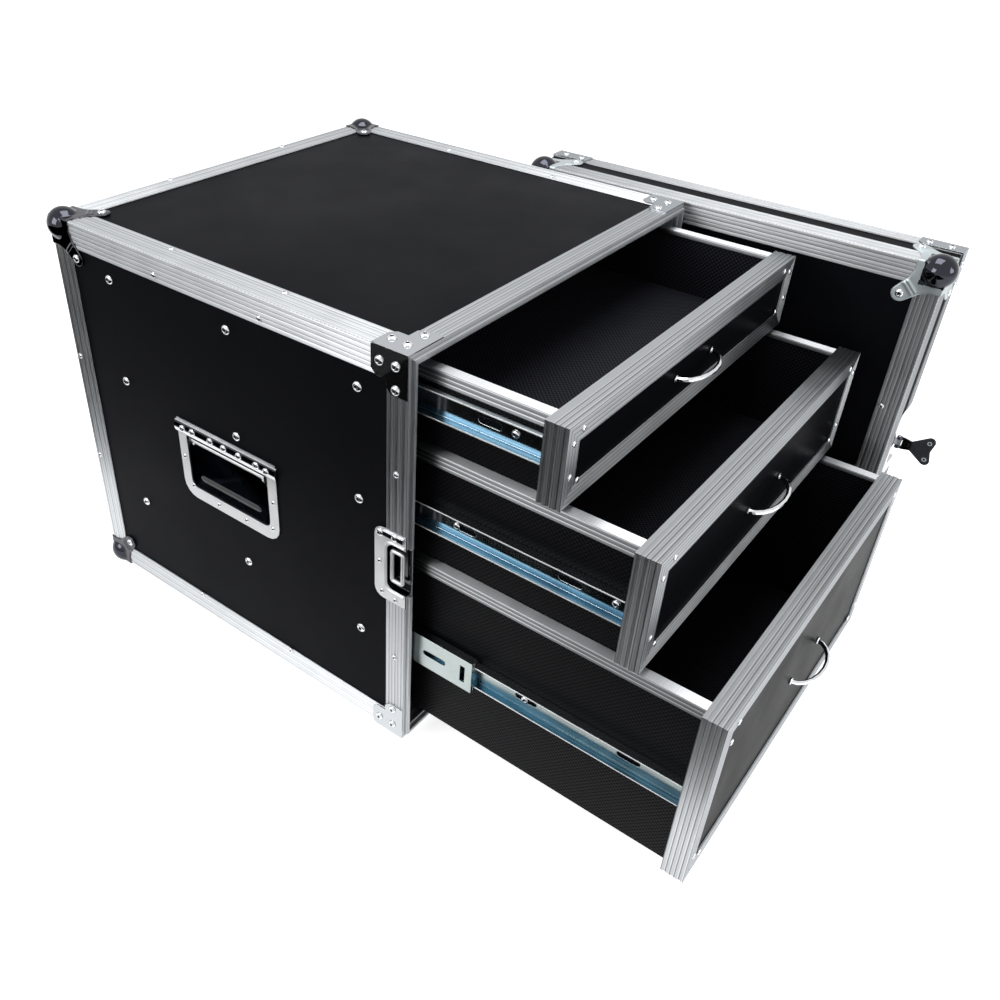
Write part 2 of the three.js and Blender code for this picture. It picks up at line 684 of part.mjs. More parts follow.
// Middle member of a slide: a channel with a strip of ball cage along each flange, outside at the back
// where the cabinet member holds it and inside at the front where it holds the drawer member.
function middleMember(centre) {
  const half = middle.height / 2;
  const section = [
    [middle.offset, -half],
    [middle.width, -half],
    [middle.width, -half + middle.wall],
    [middle.offset + middle.wall, -half + middle.wall],
    [middle.offset + middle.wall, half - middle.wall],
    [middle.width, half - middle.wall],
    [middle.width, half],
    [middle.offset, half],
  ];
  const map = (u, v, y) => [-panelInner + u, y, centre + v];
  const end = slideFront + runnerLength;
  const channel = prism(section, slideFront, end, map);
  const [low, high] = [ballCage.offset, ballCage.offset + ballCage.width];
  const outerReach = cabinet.height / 2 - cabinet.wall - fitGap;
  const innerReach = drawerMember.height / 2 + fitGap;
  // The inner cage lies deeper, where the drawer member's flanges run.
  const innerLow = drawerMember.offset;
  const innerHigh = middle.width - middle.wall;
  const strips = [-1, 1].flatMap((sign) => [
    prism(rectangle(low, high, ...between(sign * (half - bite), sign * outerReach)), end - cageLength, end, map),
    prism(rectangle(innerLow, innerHigh, ...between(sign * innerReach, sign * (half - middle.wall + bite))), slideFront, slideFront + cageLength, map),
  ]);
  // Slots for the mounting screw and for the catch that stops the member
  const r = middleSlot.height / 2;
  const slotFrom = slideFront + middleSlot.fromFront;
  const latchFrom = slideFront + middleSlot.latchFromFront;
  const half2 = middleSlot.latchHeight / 2;
  const webFrom = -panelInner + middle.offset - overrun;
  const webTo = -panelInner + middle.offset + middle.wall + overrun;
  const slot = prism(rounded(slotFrom, slotFrom + middleSlot.length, centre - r, centre + r, [r, r, r, r], 2), webFrom, webTo, onSide);
  const catchSlot = prism(rectangle(latchFrom, latchFrom + middleSlot.latchWidth, centre - half2, centre + half2), webFrom, webTo, onSide);
  return joinAll([channel, ...strips]).subtract(slot).subtract(catchSlot);
}

// Drawer member: a narrow channel against the tray, with slots along its web.
function memberOnDrawer(centre) {
  const half = drawerMember.height / 2;
  const section = [
    [drawerMember.offset, -half],
    [drawerMember.width, -half],
    [drawerMember.width, half],
    [drawerMember.offset, half],
    [drawerMember.offset, half - drawerMember.wall],
    [drawerMember.width - drawerMember.wall, half - drawerMember.wall],
    [drawerMember.width - drawerMember.wall, -half + drawerMember.wall],
    [drawerMember.offset, -half + drawerMember.wall],
  ];
  const map = (u, v, y) => [-panelInner + u, y, centre + v];
  const from = drawerMember.front;
  const channel = prism(section, from, from + runnerLength, map);
  const slots = Array.from({ length: slideSlot.count }, (_, i) => {
    const at = from + runnerLength / 2 + slideSlot.pitch * (i - (slideSlot.count - 1) / 2);
    const r = slideSlot.height / 2;
    const outline = rounded(at - slideSlot.length / 2, at + slideSlot.length / 2, centre - r, centre + r, [r, r, r, r], 2);
    return prism(outline, -panelInner + drawerMember.width - drawerMember.wall - overrun, -trayHalf + overrun, onSide);
  });
  return cutAll(channel, slots);
}

// Pull: a bow that leaves its feet square to the front and rounds to its full reach in the middle
function pullSolid(x, z) {
  const foot = boardFront - fitGap;
  const bow = new THREE.EllipseCurve(0, 0, pull.halfSpan, pull.reach, Math.PI, 2 * Math.PI);
  const path = new THREE.CatmullRomCurve3(bow.getPoints(pull.steps).map((p) => new THREE.Vector3(p.x, p.y, 0)));
  const rings = Array.from({ length: pull.steps + 1 }, (_, i) => {
    const point = path.getPoint(i / pull.steps);
    const along = path.getTangent(i / pull.steps);
    if (i === 0 || i === pull.steps) along.set(0, i === 0 ? -1 : 1, 0);
    return Array.from({ length: pull.sides }, (_, k) => {
      const turn = (2 * Math.PI * (k + 1 / 2)) / pull.sides;
      return [point.x + along.y * pull.rod * Math.cos(turn), point.y - along.x * pull.rod * Math.cos(turn), pull.rod * Math.sin(turn)];
    });
  });
  const circle = Array.from({ length: pull.sides }, (_, k) => {
    const turn = (2 * Math.PI * (k + 1 / 2)) / pull.sides;
    return new THREE.Vector2(Math.cos(turn), Math.sin(turn));
  });
  const feet = [-1, 1].map((side) => bar(side * pull.halfSpan, 0, pull.footRadius, -pull.footHeight, 0, pinSides, alongY));
  return solidOf(geometryOf(joinAll([skin(rings, circle), ...feet])).translate(x, foot, z));
}

// Drawers, each pulled out as far as the photograph shows
const boardFront = angleWall + fitGap;
for (const drawer of drawers) {
  const { name, floor, height, out } = drawer;
  const centre = slideCentre(drawer);
  const roof = floor + height;
  const drawerGroup = new THREE.Group();
  const middleGroup = new THREE.Group();
  middleGroup.position.y = -out.middle;
  drawerGroup.position.y = -out.middle - out.drawer;
  roadCase.add(middleGroup, drawerGroup);

  const middleLeft = middleMember(centre);
  addPiece(middleGroup, `${name}_left_middle_slide`, middleLeft, zinc);
  addPiece(middleGroup, `${name}_right_middle_slide`, mirrored(middleLeft), zinc);
  const innerLeft = memberOnDrawer(centre);
  addPiece(drawerGroup, `${name}_left_drawer_slide`, innerLeft, zinc);
  addPiece(drawerGroup, `${name}_right_drawer_slide`, mirrored(innerLeft), zinc);

  // Board behind the lip of the angle
  const boardInset = angleWall + fitGap;
  addPiece(
    drawerGroup,
    `${name}_drawer_board`,
    block([-halfFace + boardInset, halfFace - boardInset], [boardFront, boardFront + boardThickness], [floor + boardInset, roof - boardInset]),
    laminate,
  );

  // Angle round the front, with the trim that caps the tray's sides and back
  const angle = [
    [0, 0],
    [angleLip, 0],
    [angleLip, angleWall],
    [angleWall, angleWall],
    [angleWall, angleDepth],
    [0, angleDepth],
    ...ribbed(angleDepth, 0).map(([along, deep]) => [deep, along]),
  ];
  const trayFront = angleDepth + fitGap;
  const capOuter = trayHalf + fitGap + trimWall;
  const capBack = trayBack + fitGap + trimWall;
  const trimPath = [[-capOuter, trayFront], [-capOuter, capBack], [capOuter, capBack], [capOuter, trayFront]];
  const trim = [
    [0, roof],
    [0, roof - trimDrop],
    [-trimWall, roof - trimDrop],
    [-trimWall, roof - angleWall],
    [-trimWidth + trimWall, roof - angleWall],
    [-trimWidth + trimWall, roof - trimInnerDrop],
    [-trimWidth, roof - trimInnerDrop],
    [-trimWidth, roof],
  ];
  const tabs = [-1, 1].map((side) =>
    block(between(side * capOuter, side * (capOuter - trimWidth)), [angleDepth - bite, trayFront + bite], [roof - angleWall, roof]),
  );
  const ring = mitred(angle, rectangle(-halfFace, halfFace, floor, roof), true, onFront);
  addPiece(drawerGroup, `${name}_drawer_frame`, joinAll([ring, mitred(trim, trimPath, false, onTop), ...tabs]), satin);

  // Tray: two sides, back and bottom, open at the top and closed in front by the board
  const trayFloor = floor + trayLift;
  const trayRoof = roof - angleWall - fitGap;
  const tray = block([-trayHalf, trayHalf], [trayFront, trayBack], [trayFloor, trayRoof]).subtract(
    block([-trayHalf + trayWall, trayHalf - trayWall], [trayFront - overrun, trayBack - trayWall], [trayFloor + trayWall, trayRoof + overrun]),
  );
  addPiece(drawerGroup, `${name}_drawer_tray`, tray, weave);
  addPiece(drawerGroup, `${name}_drawer_pull`, pullSolid(pullAside[name], floor + height / 2 - pullBelow[name]), chrome);
}

// Lid, drawn as it fits the case, with its mating plane at y = 0 and its outer face at y = lidDepth
const lid = new THREE.Group();
lid.position.set(halfWidth + lidStand, halfWidth - lidForward, 0);
lid.rotation.z = Math.PI / 2;
roadCase.add(lid);
const lidWeb = tongueLength + fitGap + lidWebBehind;
const lidCubes = cornerCubes([[lidDepth, -1]]);
const latchNotch = dishNotch(lidRailDepth, latchCupReach);
const latchHole = panelCupHole(latchCupReach);
const shellOuter = block([-panelFace, panelFace], [lidWeb + fitGap, lidDepth - panelInset], [panelInset, caseHeight - panelInset]);
const shellInner = block(
  [-panelInner, panelInner],
  [-overrun, lidDepth - panelInset - panelThickness],
  [panelInset + panelThickness, caseHeight - panelInset - panelThickness],
);
addPiece(lid, 'lid_shell', cutAll(shellOuter.subtract(shellInner), [...lidCubes, latchHole, mirrored(latchHole)]), laminate);
const lidAngle = mitred(angleSection(lidLeg, 0), openingPath, true, (a, b, c) => [a, lidDepth - c, b]);
addPiece(lid, 'lid_outer_frame', cutAll(lidAngle, lidCubes), satin);
const slotOuter = tongueInset - fitGap;
const slotInner = tongueInset + tongueWidth + fitGap;
const lidRailSection = [
  [0, 0],
  ...ribbed(0, lidRailDepth).map(([along, deep]) => [deep, along]),
  [0, lidRailDepth],
  [edgeWall, lidRailDepth],
  [edgeWall, lidWeb],
  [panelEdge, lidWeb],
  [panelEdge, lidRailDepth],
  [railThickness, lidRailDepth],
  [railThickness, 0],
  [slotInner, 0],
  [slotInner, tongueLength + fitGap],
  [slotOuter, tongueLength + fitGap],
  [slotOuter, 0],
];
const lidRail = mitred(lidRailSection, openingPath, true, onFront)
  .subtract(latchNotch)
  .subtract(mirrored(latchNotch))
  .add(braces(lidRailDepth, lidRailDepth));
addPiece(lid, 'lid_mating_frame', lidRail, satin);
for (const [end, sx] of [['near', 1], ['far', -1]]) {
  for (const [level, sz] of [['bottom', 1], ['top', -1]]) {
    const at = [-sx * halfWidth, lidDepth, sz > 0 ? 0 : caseHeight];
    addBall(lid, `lid_${level}_${end}_ball_corner`, [sx, -1, sz], at);
  }
}

// Latches: a dish, a cam whose hook reaches the keeper when it turns, and a wing that folds flat
const hingeX = -(halfWidth + wingHinge.above);
const latchDish = sheetDish(latchCupReach);
const cam = (() => {
  const plateFrom = cupDepthFloor + hook.above;
  const round = (radius, from, to) => bar(spindleInset, latchHeight, radius, -from, -to, pinSides, alongX);
  const arm = block(
    [-plateFrom - hook.thickness, -plateFrom],
    [spindleInset - hook.halfWidth, spindleInset + hook.halfWidth],
    [latchHeight, latchHeight + hook.reach],
  );
  const claw = block(
    [-plateFrom - bite, -cupDepthFloor - fitGap],
    [spindleInset - hook.halfWidth, spindleInset + hook.halfWidth],
    [latchHeight + hook.reach - hook.claw, latchHeight + hook.reach],
  );
  const tab = block(
    [hingeX - wingHinge.radius, -sheetInner],
    [spindleInset - wingHinge.tabWidth / 2, spindleInset + wingHinge.tabWidth / 2],
    [latchHeight - wingHinge.tabHalf, latchHeight + wingHinge.tabHalf],
  );
  const pinHalf = wingHinge.tabHalf + wingHinge.knuckle + fitGap;
  const pin = bar(hingeX, spindleInset, wingHinge.pinRadius, latchHeight - pinHalf, latchHeight + pinHalf, pinSides, alongZ);
  return joinAll([
    round(spindleRadius, cupDepthFloor + fitGap, sheetInner),
    round(hook.hubRadius, plateFrom, plateFrom + hook.thickness),
    arm,
    claw,
    tab,
    pin,
  ]);
})();
const wingSolid = (() => {
  const root = wingHinge.tabHalf + fitGap;
  const knuckles = [-1, 1].map((side) =>
    bar(
      hingeX,
      spindleInset,
      wingHinge.radius,
      ...between(latchHeight + side * root, latchHeight + side * (root + wingHinge.knuckle)),
      pinSides,
      alongZ,
    ),
  );
  // Half of the butterfly, from its neck at the hinge to the middle of its outer edge, seen along Y
  const tip = wing.reach - wing.lobeRadius;
  const lobeZ = wing.lobeHalf - wing.lobeRadius;
  const lobe = Array.from({ length: wing.steps + 1 }, (_, k) => {
    const turn = ((Math.PI * 3) / 4) * (1 - k / wing.steps);
    return [tip + wing.lobeRadius * Math.cos(turn), lobeZ + wing.lobeRadius * Math.sin(turn)];
  });
  const nose = Math.hypot(wingHinge.radius, wingHinge.tabWidth / 2) + fitGap;
  const upper = [
    [0, root + wingHinge.knuckle],
    [wing.neck, root + wingHinge.knuckle],
    [wing.reach * wing.waistShare, root + wingHinge.knuckle / 2],
    ...lobe,
    [wing.reach - wing.lobeRadius / 2, 0],
  ];
  const lower = upper.slice(0, -1).reverse().map(([u, v]) => [u, -v]);
  const slotIn = [[0, -root], [nose, -root], [nose, root], [0, root]];
  const outline = [...upper, ...lower, ...slotIn];
  const map = (u, v, y) => [hingeX - u, spindleInset + y, latchHeight + v];
  const plate = prism(outline, -wing.thickness / 2, wing.thickness / 2, map);
  const bore = bar(
    hingeX,
    spindleInset,
    wingHinge.pinRadius + fitGap,
    latchHeight - root - wingHinge.knuckle - overrun,
    latchHeight + root + wingHinge.knuckle + overrun,
    pinSides,
    alongZ,
  );
  return joinAll([plate, ...knuckles]).subtract(bore);
})();
for (const [end, made] of [['near', (solid) => solid], ['far', mirrored]]) {
  addPiece(lid, `${end}_latch_dish`, made(latchDish), zinc);
  addPiece(lid, `${end}_latch_cam`, made(cam), zinc);
  addPiece(lid, `${end}_latch_wing`, made(wingSolid), darkChrome);
}

// The reference point is the middle of the front rail's underside, between its first two ribs.
roadCase.position.set(0, -railDepth / rib.count, 0);
const group = new THREE.Group();
group.add(roadCase);

export default group;
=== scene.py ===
"""Dresses a flight case with drawers: faced plywood, ribbed aluminium, plated hardware, rivets and a plain studio."""

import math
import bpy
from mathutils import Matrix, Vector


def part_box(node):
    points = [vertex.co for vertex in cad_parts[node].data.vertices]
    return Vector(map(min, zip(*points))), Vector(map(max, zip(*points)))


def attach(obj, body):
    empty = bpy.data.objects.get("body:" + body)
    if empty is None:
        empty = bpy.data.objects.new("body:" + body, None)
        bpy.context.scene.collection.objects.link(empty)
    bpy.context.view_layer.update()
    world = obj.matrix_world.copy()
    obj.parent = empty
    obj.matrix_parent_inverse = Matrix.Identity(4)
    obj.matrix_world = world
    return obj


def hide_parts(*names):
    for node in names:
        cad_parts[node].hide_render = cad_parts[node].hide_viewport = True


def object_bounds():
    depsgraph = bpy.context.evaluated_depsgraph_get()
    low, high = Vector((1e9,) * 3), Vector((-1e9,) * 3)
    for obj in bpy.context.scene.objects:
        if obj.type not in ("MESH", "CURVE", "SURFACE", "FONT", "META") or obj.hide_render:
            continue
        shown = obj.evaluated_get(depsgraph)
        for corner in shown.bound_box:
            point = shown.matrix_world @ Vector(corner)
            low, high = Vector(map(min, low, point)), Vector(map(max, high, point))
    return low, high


bl_info = {
    "name": "Flight Case With Drawers",
    "version": (1, 0, 0),
    "blender": (4, 5, 0),
    "location": "3D View > Sidebar > Flight Case",
    "description": "Builds the finish, rivets and hardware of a flight case with drawers around its solid model",
    "category": "Object",
}

import bmesh
import bpy
from bpy.props import FloatProperty, FloatVectorProperty, IntProperty, PointerProperty
from mathutils import Matrix, Vector

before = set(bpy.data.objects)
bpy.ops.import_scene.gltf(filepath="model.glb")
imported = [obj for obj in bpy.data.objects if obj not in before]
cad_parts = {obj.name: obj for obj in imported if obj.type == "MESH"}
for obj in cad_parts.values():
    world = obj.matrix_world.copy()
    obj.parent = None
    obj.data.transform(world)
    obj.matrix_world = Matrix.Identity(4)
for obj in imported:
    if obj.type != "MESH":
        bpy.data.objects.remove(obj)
CAD_LOW, CAD_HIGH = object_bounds()
MM = 0.001

# The case's and the lid's outer planes, read from the frame; the keeper's edge gives the case's front plane
CASE_LOW, CASE_HIGH = (corner.copy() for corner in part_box("back_frame"))
LID_LOW, LID_HIGH = (corner.copy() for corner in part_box("lid_outer_frame"))
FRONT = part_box("left_latch_keeper")[0].y
LID_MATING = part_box("lid_mating_frame")[1].x
CASE_BOX = (Vector((CASE_LOW.x, FRONT, CASE_LOW.z)), CASE_HIGH)
LID_BOX = (LID_LOW, Vector((LID_MATING, LID_HIGH.y, LID_HIGH.z)))
PANEL_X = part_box("left_side_panel")[0].x
DRAWERS = ("bottom", "middle", "top")
BALL_CORNERS = [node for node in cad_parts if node.endswith("ball_corner")]

# The extrusions: how far each reaches over the panels, how many ribs that holds, and its tone: the same aluminium is
# painted brighter on the case and darker on the lid, as painted light and painted shade
CASE_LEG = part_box("top_left_edge")[1].x - CASE_LOW.x
LID_LEG = LID_HIGH.x - LID_LOW.x
RAIL_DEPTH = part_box("top_left_edge")[0].y - FRONT
LID_RAIL_DEPTH = 21.5 * MM
RIBS_PER_LEG = 6
CASE_LIT_TONE, LID_SHADED_TONE = 1.18, 0.62

# How far the slides' steel lies behind a side panel's face, where the fittings' flanges lie, and the braces' rise in mm
STEEL_INSET = 9.15 * MM
FLANGE_X = (CASE_HIGH.x - CASE_LOW.x) / 2 - 0.3 * MM
BRACE_RISE = 1.2

# Ball corners: a ball set in from the three outer planes, and a plate with a round lobe along each of them
BALL_RADIUS, BALL_INSET = 19 * MM, 10.5 * MM
PLATE_RAISED, PLATE_ROOT, PLATE_REACH = 1.3 * MM, 1.7 * MM, 33.5 * MM
PLATE_FLANK, PLATE_INWARD, PLATE_NARROW = 10 * MM, 36.5 * MM, 20 * MM
PLATE_START = BALL_RADIUS + BALL_INSET - 4 * MM
LOBE_CENTRE, LOBE_RADIUS = 41 * MM, 9.5 * MM
RIDGE_PLACES, RIDGE_HALF, RIDGE_WIDTH, RIDGE_RISE = (43.5 * MM, 47.5 * MM), 8 * MM, 1.6 * MM, 0.9 * MM

# A rivet head of radius 1: its section as (radius, height), its sides, and the radius of its middle, painted near-black
# as painted shade in its hollow
RIVET_PROFILE = ((1, -0.08), (1, 0.1), (0.93, 0.26), (0.72, 0.42), (0.46, 0.5), (0.36, 0.48), (0.3, 0.3), (0.26, 0.22))
RIVET_SIDES, HOLLOW_SHADE_RADIUS = 16, 0.37

# Places in mm, as bench takes them: (y, z) on the case's sides, (x, z) on the drawers' lips, y along the slides
PANEL_RIVETS_Y, PANEL_RIVETS_Z = (61.8, 239.5, 427.9), (436.8, 309.2, 133.5)
HANDLE_BAR_RIVETS = (
    (328, 285.6), (311, 287), (281, 287.4), (259, 287.4), (235, 287.4), (207.5, 287.2), (192.5, 285.6)
)
HANDLE_FLANGE_RIVETS = ((333.6, 244.5), (187.6, 244.6), (323.5, 207), (281, 198.3), (234.7, 198.3), (191, 207))
KEEPER_SCREWS = ((33.5, 282), (14, 283.5))
KEEPER_RIVETS = ((34.5, 245), (31, 206), (13, 202.5))
LIP_RIVETS = {
    "top": (
        (-221.8, 463.4), (-236.8, 449.5), (-237.8, 415.7), (-222.2, 406.3),
        (218.1, 465.8), (235.2, 452.9), (236.6, 421), (219.2, 409.1),
    ),
    "middle": (
        (-218.2, 371), (-235.9, 357.9), (-236, 290), (-223.4, 274.1),
        (219, 371), (236, 357.9), (233.1, 289.3), (220.5, 273.9),
    ),
    "bottom": (
        (-216.3, 228.9), (-223.5, 208.6), (-234.9, 54.2), (-218, 41),
        (223.8, 233.3), (236, 209), (230.7, 57.9), (214.2, 45.1),
    ),
}
LIP_RIM = 10 * MM
SLIDE_SCREWS = {"bottom": (-136.4, -330), "middle": (-40, -215), "top": (-96.7,)}

# The studio: the camera with its azimuth, elevation and roll, the card's outline, the world's strength and the lamps
CAMERA_PLACE, CAMERA_TURN = (-853.4, -469.2, 883.1), (36.903, -35.22, 1.993)
CAMERA_LENS, CAMERA_SHIFT = 35.2, (0.0699, -0.0121)
CARD_OUTLINE = ((-0.5, 2.2), (-3.0, 2.2), (-3.0, -1.2), (-0.37, -1.2), (-0.37, -0.05), (-0.5, -0.05))
WORLD_LIGHT = 0.35
LAMP_TARGET = Vector((0, -0.15, 0.25))
LAMPS = (
    ("soft_top", (0.1, 0.2, 2.4), 1.4, 36),
    ("soft_left", (-2.0, 0.9, 1.15), 1.1, 24),
    ("soft_front", (0.3, -2.6, 1.3), 1.1, 22),
)

# Plain metals: the material's name, colour, roughness, blotches and depth of grain
BRIGHT = (0.7, 0.71, 0.73)
GRAIN, FINE_GRAIN = 0.03 * MM, 0.006 * MM
METALS = {
    "satin": ("satin_zinc", (0.72, 0.73, 0.74), 0.48, 0.1),
    "pale_slide": ("slide_pale_steel", (0.42, 0.47, 0.46), 0.3),
    # Painted shade: the next row is a darker zinc for the recesses of the handle dishes.
    "inner_zinc": ("inner_zinc", (0.34, 0.35, 0.38), 0.36, 0.25),
    "corner_zinc": ("corner_zinc", (0.5, 0.55, 0.57), 0.45, 0.15),
    "chrome": ("polished_chrome", (0.75, 0.76, 0.78), 0.07, 0.04, FINE_GRAIN),
    "mirror": ("mirror_zinc", (0.55, 0.56, 0.58), 0.08, 0.08, FINE_GRAIN),
    # Painted reflection: the next two are painted near-black, standing in for a dark studio mirrored in the balls and
    # plating.
    "ball": ("ball_chrome", (0.045, 0.046, 0.056), 0.06, 0.1, 0.004 * MM),
    "dark_chrome": ("dark_mirror_plating", (0.06, 0.06, 0.068), 0.1, 0.1, 0.01 * MM),
}
MATERIALS = {}

# What the settings of a kind share
LENGTH = {"subtype": "DISTANCE", "unit": "LENGTH"}
COLOUR = {"subtype": "COLOR", "size": 3, "min": 0, "max": 1}


def bench(x, y, z):
    """A place in mm from the case's middle, front plane and underside."""
    return Vector((x * MM, FRONT + y * MM, CASE_LOW.z + z * MM))


# Settings


class FLIGHTCASE_PG_sizes(bpy.types.PropertyGroup):
    rivet_radius: FloatProperty(
        name="Rivet radius", description="Radius of the small rivet heads",
        default=3.4 * MM, min=0.001, max=0.01, **LENGTH
    )
    panel_rivet_radius: FloatProperty(
        name="Panel rivet radius", description="Radius of the large rivet heads on the panels",
        default=5.6 * MM, min=0.002, max=0.02, **LENGTH
    )
    edge_bevel: FloatProperty(
        name="Edge softness", description="Width of the rounding on sheet and extrusion edges",
        default=0.35 * MM, min=0, max=0.002, **LENGTH
    )
    brace_rivet_radius: FloatProperty(
        name="Brace rivet radius", description="Radius of the rivet heads on braces and plates",
        default=4.9 * MM, min=0.002, max=0.02, **LENGTH
    )
    rib_pitch: FloatProperty(
        name="Rib pitch", description="Spacing of the fine ribs on the drawers' angles",
        default=4.8 * MM, min=0.001, max=0.02, **LENGTH
    )
    emboss_pitch: FloatProperty(
        name="Emboss pitch", description="Spacing of the embossed pattern inside the drawers",
        default=5.2 * MM, min=0.001, max=0.02, **LENGTH
    )
    ball_segments: IntProperty(
        name="Ball segments", description="Segments round each ball corner", default=48, min=16, max=96
    )


class FLIGHTCASE_PG_colours(bpy.types.PropertyGroup):
    laminate: FloatVectorProperty(
        name="Panel facing", description="Colour of the outer panels", default=(0.0042, 0.0045, 0.0058), **COLOUR
    )
    board: FloatVectorProperty(
        name="Drawer facing", description="Colour of the drawer fronts", default=(0.0036, 0.0038, 0.0048), **COLOUR
    )
    emboss: FloatVectorProperty(
        name="Drawer lining", description="Colour of the embossed drawer boards",
        default=(0.0028, 0.0029, 0.0037), **COLOUR
    )
    aluminium: FloatVectorProperty(
        name="Extrusions", description="Colour of the ribbed extrusions", default=(0.58, 0.595, 0.61), **COLOUR
    )
    zinc: FloatVectorProperty(
        name="Pressed hardware", description="Colour of the plated pressings", default=(0.56, 0.58, 0.6), **COLOUR
    )
    slide: FloatVectorProperty(
        name="Slides", description="Colour of the drawer slides", default=(0.5, 0.54, 0.56), **COLOUR
    )
    slide_blue: FloatVectorProperty(
        name="Slide passivation", description="Blue tint inside the slides' channels",
        default=(0.05, 0.15, 0.24), **COLOUR
    )


# Materials


def add_node(tree, kind, *links, **settings):
    """Adds a node; links are its inputs in order, as sockets, values or None to skip one."""
    made = tree.nodes.new(kind)
    for key, value in settings.items():
        setattr(made, key, value)
    for socket, link in zip(made.inputs, links):
        if isinstance(link, bpy.types.NodeSocket):
            tree.links.new(link, socket)
        elif link is not None:
            socket.default_value = link
    return made


class Recipe:
    """A material under construction: a shader and short ways to add nodes to it."""

    def __init__(self, name, color, metallic, roughness, **sockets):
        self.material = bpy.data.materials.new(name)
        self.material.use_nodes = True
        self.tree = self.material.node_tree
        self.shader = self.tree.nodes["Principled BSDF"]
        self.set("Base Color", (*color, 1))
        self.set("Metallic", metallic)
        self.set("Roughness", roughness)
        for socket, value in sockets.items():
            self.set(socket.replace("_", " ").title().replace("Ior", "IOR"), value)

    def set(self, socket, value):
        self.shader.inputs[socket].default_value = value

    def join(self, value, socket):
        self.tree.links.new(value, self.shader.inputs[socket])

    def joined(self, socket="Base Color"):
        """What feeds a socket of the shader so far."""
        return self.shader.inputs[socket].links[0].from_socket

    def node(self, kind, *links, **settings):
        return add_node(self.tree, kind, *links, **settings)

    def place(self):
        return self.node("ShaderNodeTexCoord").outputs["Object"]

    def normal(self):
        return self.node("ShaderNodeNewGeometry").outputs["Normal"]

    def axes(self, vector):
        return self.node("ShaderNodeSeparateXYZ", vector).outputs

    def facing(self):
        """How far the surface faces along each axis, to either side."""
        return self.axes(self.vector("ABSOLUTE", self.normal()))

    def math(self, operation, *inputs):
        return self.node("ShaderNodeMath", *inputs, operation=operation).outputs[0]

    def vector(self, operation, *inputs):
        return self.node("ShaderNodeVectorMath", *inputs, operation=operation).outputs[0]

    def noise(self, scale, detail=2.0, stretch=None, rough=0.5):
        where = self.place()
        if stretch:
            where = self.vector("MULTIPLY", where, stretch)
        return self.node("ShaderNodeTexNoise", where, None, scale, detail, rough).outputs["Fac"]

    def remap(self, value, low, high, new_low, new_high):
        return self.node("ShaderNodeMapRange", value, low, high, new_low, new_high).outputs[0]

    def mix(self, factor, a, b):
        """Mixes two colours, which are the seventh and eighth inputs of the node."""
        return self.node("ShaderNodeMix", factor, *(None,) * 5, a, b, data_type="RGBA").outputs[2]

    def pick(self, test, yes, no):
        """One of two numbers."""
        return self.node("ShaderNodeMix", test, None, no, yes, data_type="FLOAT").outputs[0]

    def inset(self, place, low, high):
        """How far a place lies inside the nearer of two planes."""
        away = self.math("ABSOLUTE", self.math("SUBTRACT", place, (low + high) / 2))
        return self.math("SUBTRACT", (high - low) / 2, away)

    def bump(self, height, distance, strength=0.5):
        made = self.node("ShaderNodeBump")
        made.inputs["Strength"].default_value = strength
        made.inputs["Distance"].default_value = distance
        self.tree.links.new(height, made.inputs["Height"])
        self.join(made.outputs[0], "Normal")

    def gloss(self, *ramp):
        self.join(self.remap(*ramp), "Roughness")

    def tint(self, factor, a, b):
        self.join(self.mix(factor, a, b), "Base Color")


def shade(color, factor):
    return tuple(min(1, c * factor) for c in color) + (1,)


def laminate_material(colours):
    """Plywood facing with a fine pebbled texture and faint scuffs."""
    r = Recipe("black_textured_laminate", colours.laminate, 0, 0.42, specular_ior_level=0.02)
    grain = r.noise(1500, 3, rough=0.6)
    height = r.math("ADD", grain, r.math("MULTIPLY", r.noise(520, 1), 0.8))
    r.bump(height, 0.12 * MM)
    r.gloss(r.noise(9, 4, rough=0.6), 0.3, 0.75, 0.38, 0.5)
    speck = r.remap(grain, 0.35, 0.7, 0, 1)
    r.tint(speck, shade(colours.laminate, 0.8), shade(colours.laminate, 1.5))
    return r


def side_material(colours):
    """The side panels' facing. Inside the case it gives way to steel, where the slides' cabinet members are."""
    r = laminate_material(colours)
    r.material.name = "side_laminate_and_slide_steel"
    off_centre = r.math("ABSOLUTE", r.axes(r.place())[0])
    steel = r.math("LESS_THAN", off_centre, -PANEL_X - STEEL_INSET)
    r.tint(steel, r.joined(), (*colours.slide, 1))
    r.join(steel, "Metallic")
    r.join(r.pick(steel, 0.24, r.joined("Roughness")), "Roughness")
    return r


def board_material(colours):
    """Smoother facing of the drawer fronts."""
    r = Recipe("drawer_front_laminate", colours.board, 0, 0.3, specular_ior_level=0.007)
    grain = r.noise(1900, 2)
    r.bump(grain, 0.06 * MM)
    r.gloss(r.noise(14, 3), 0.3, 0.7, 0.28, 0.34)
    r.tint(grain, shade(colours.board, 0.75), shade(colours.board, 1.4))
    return r


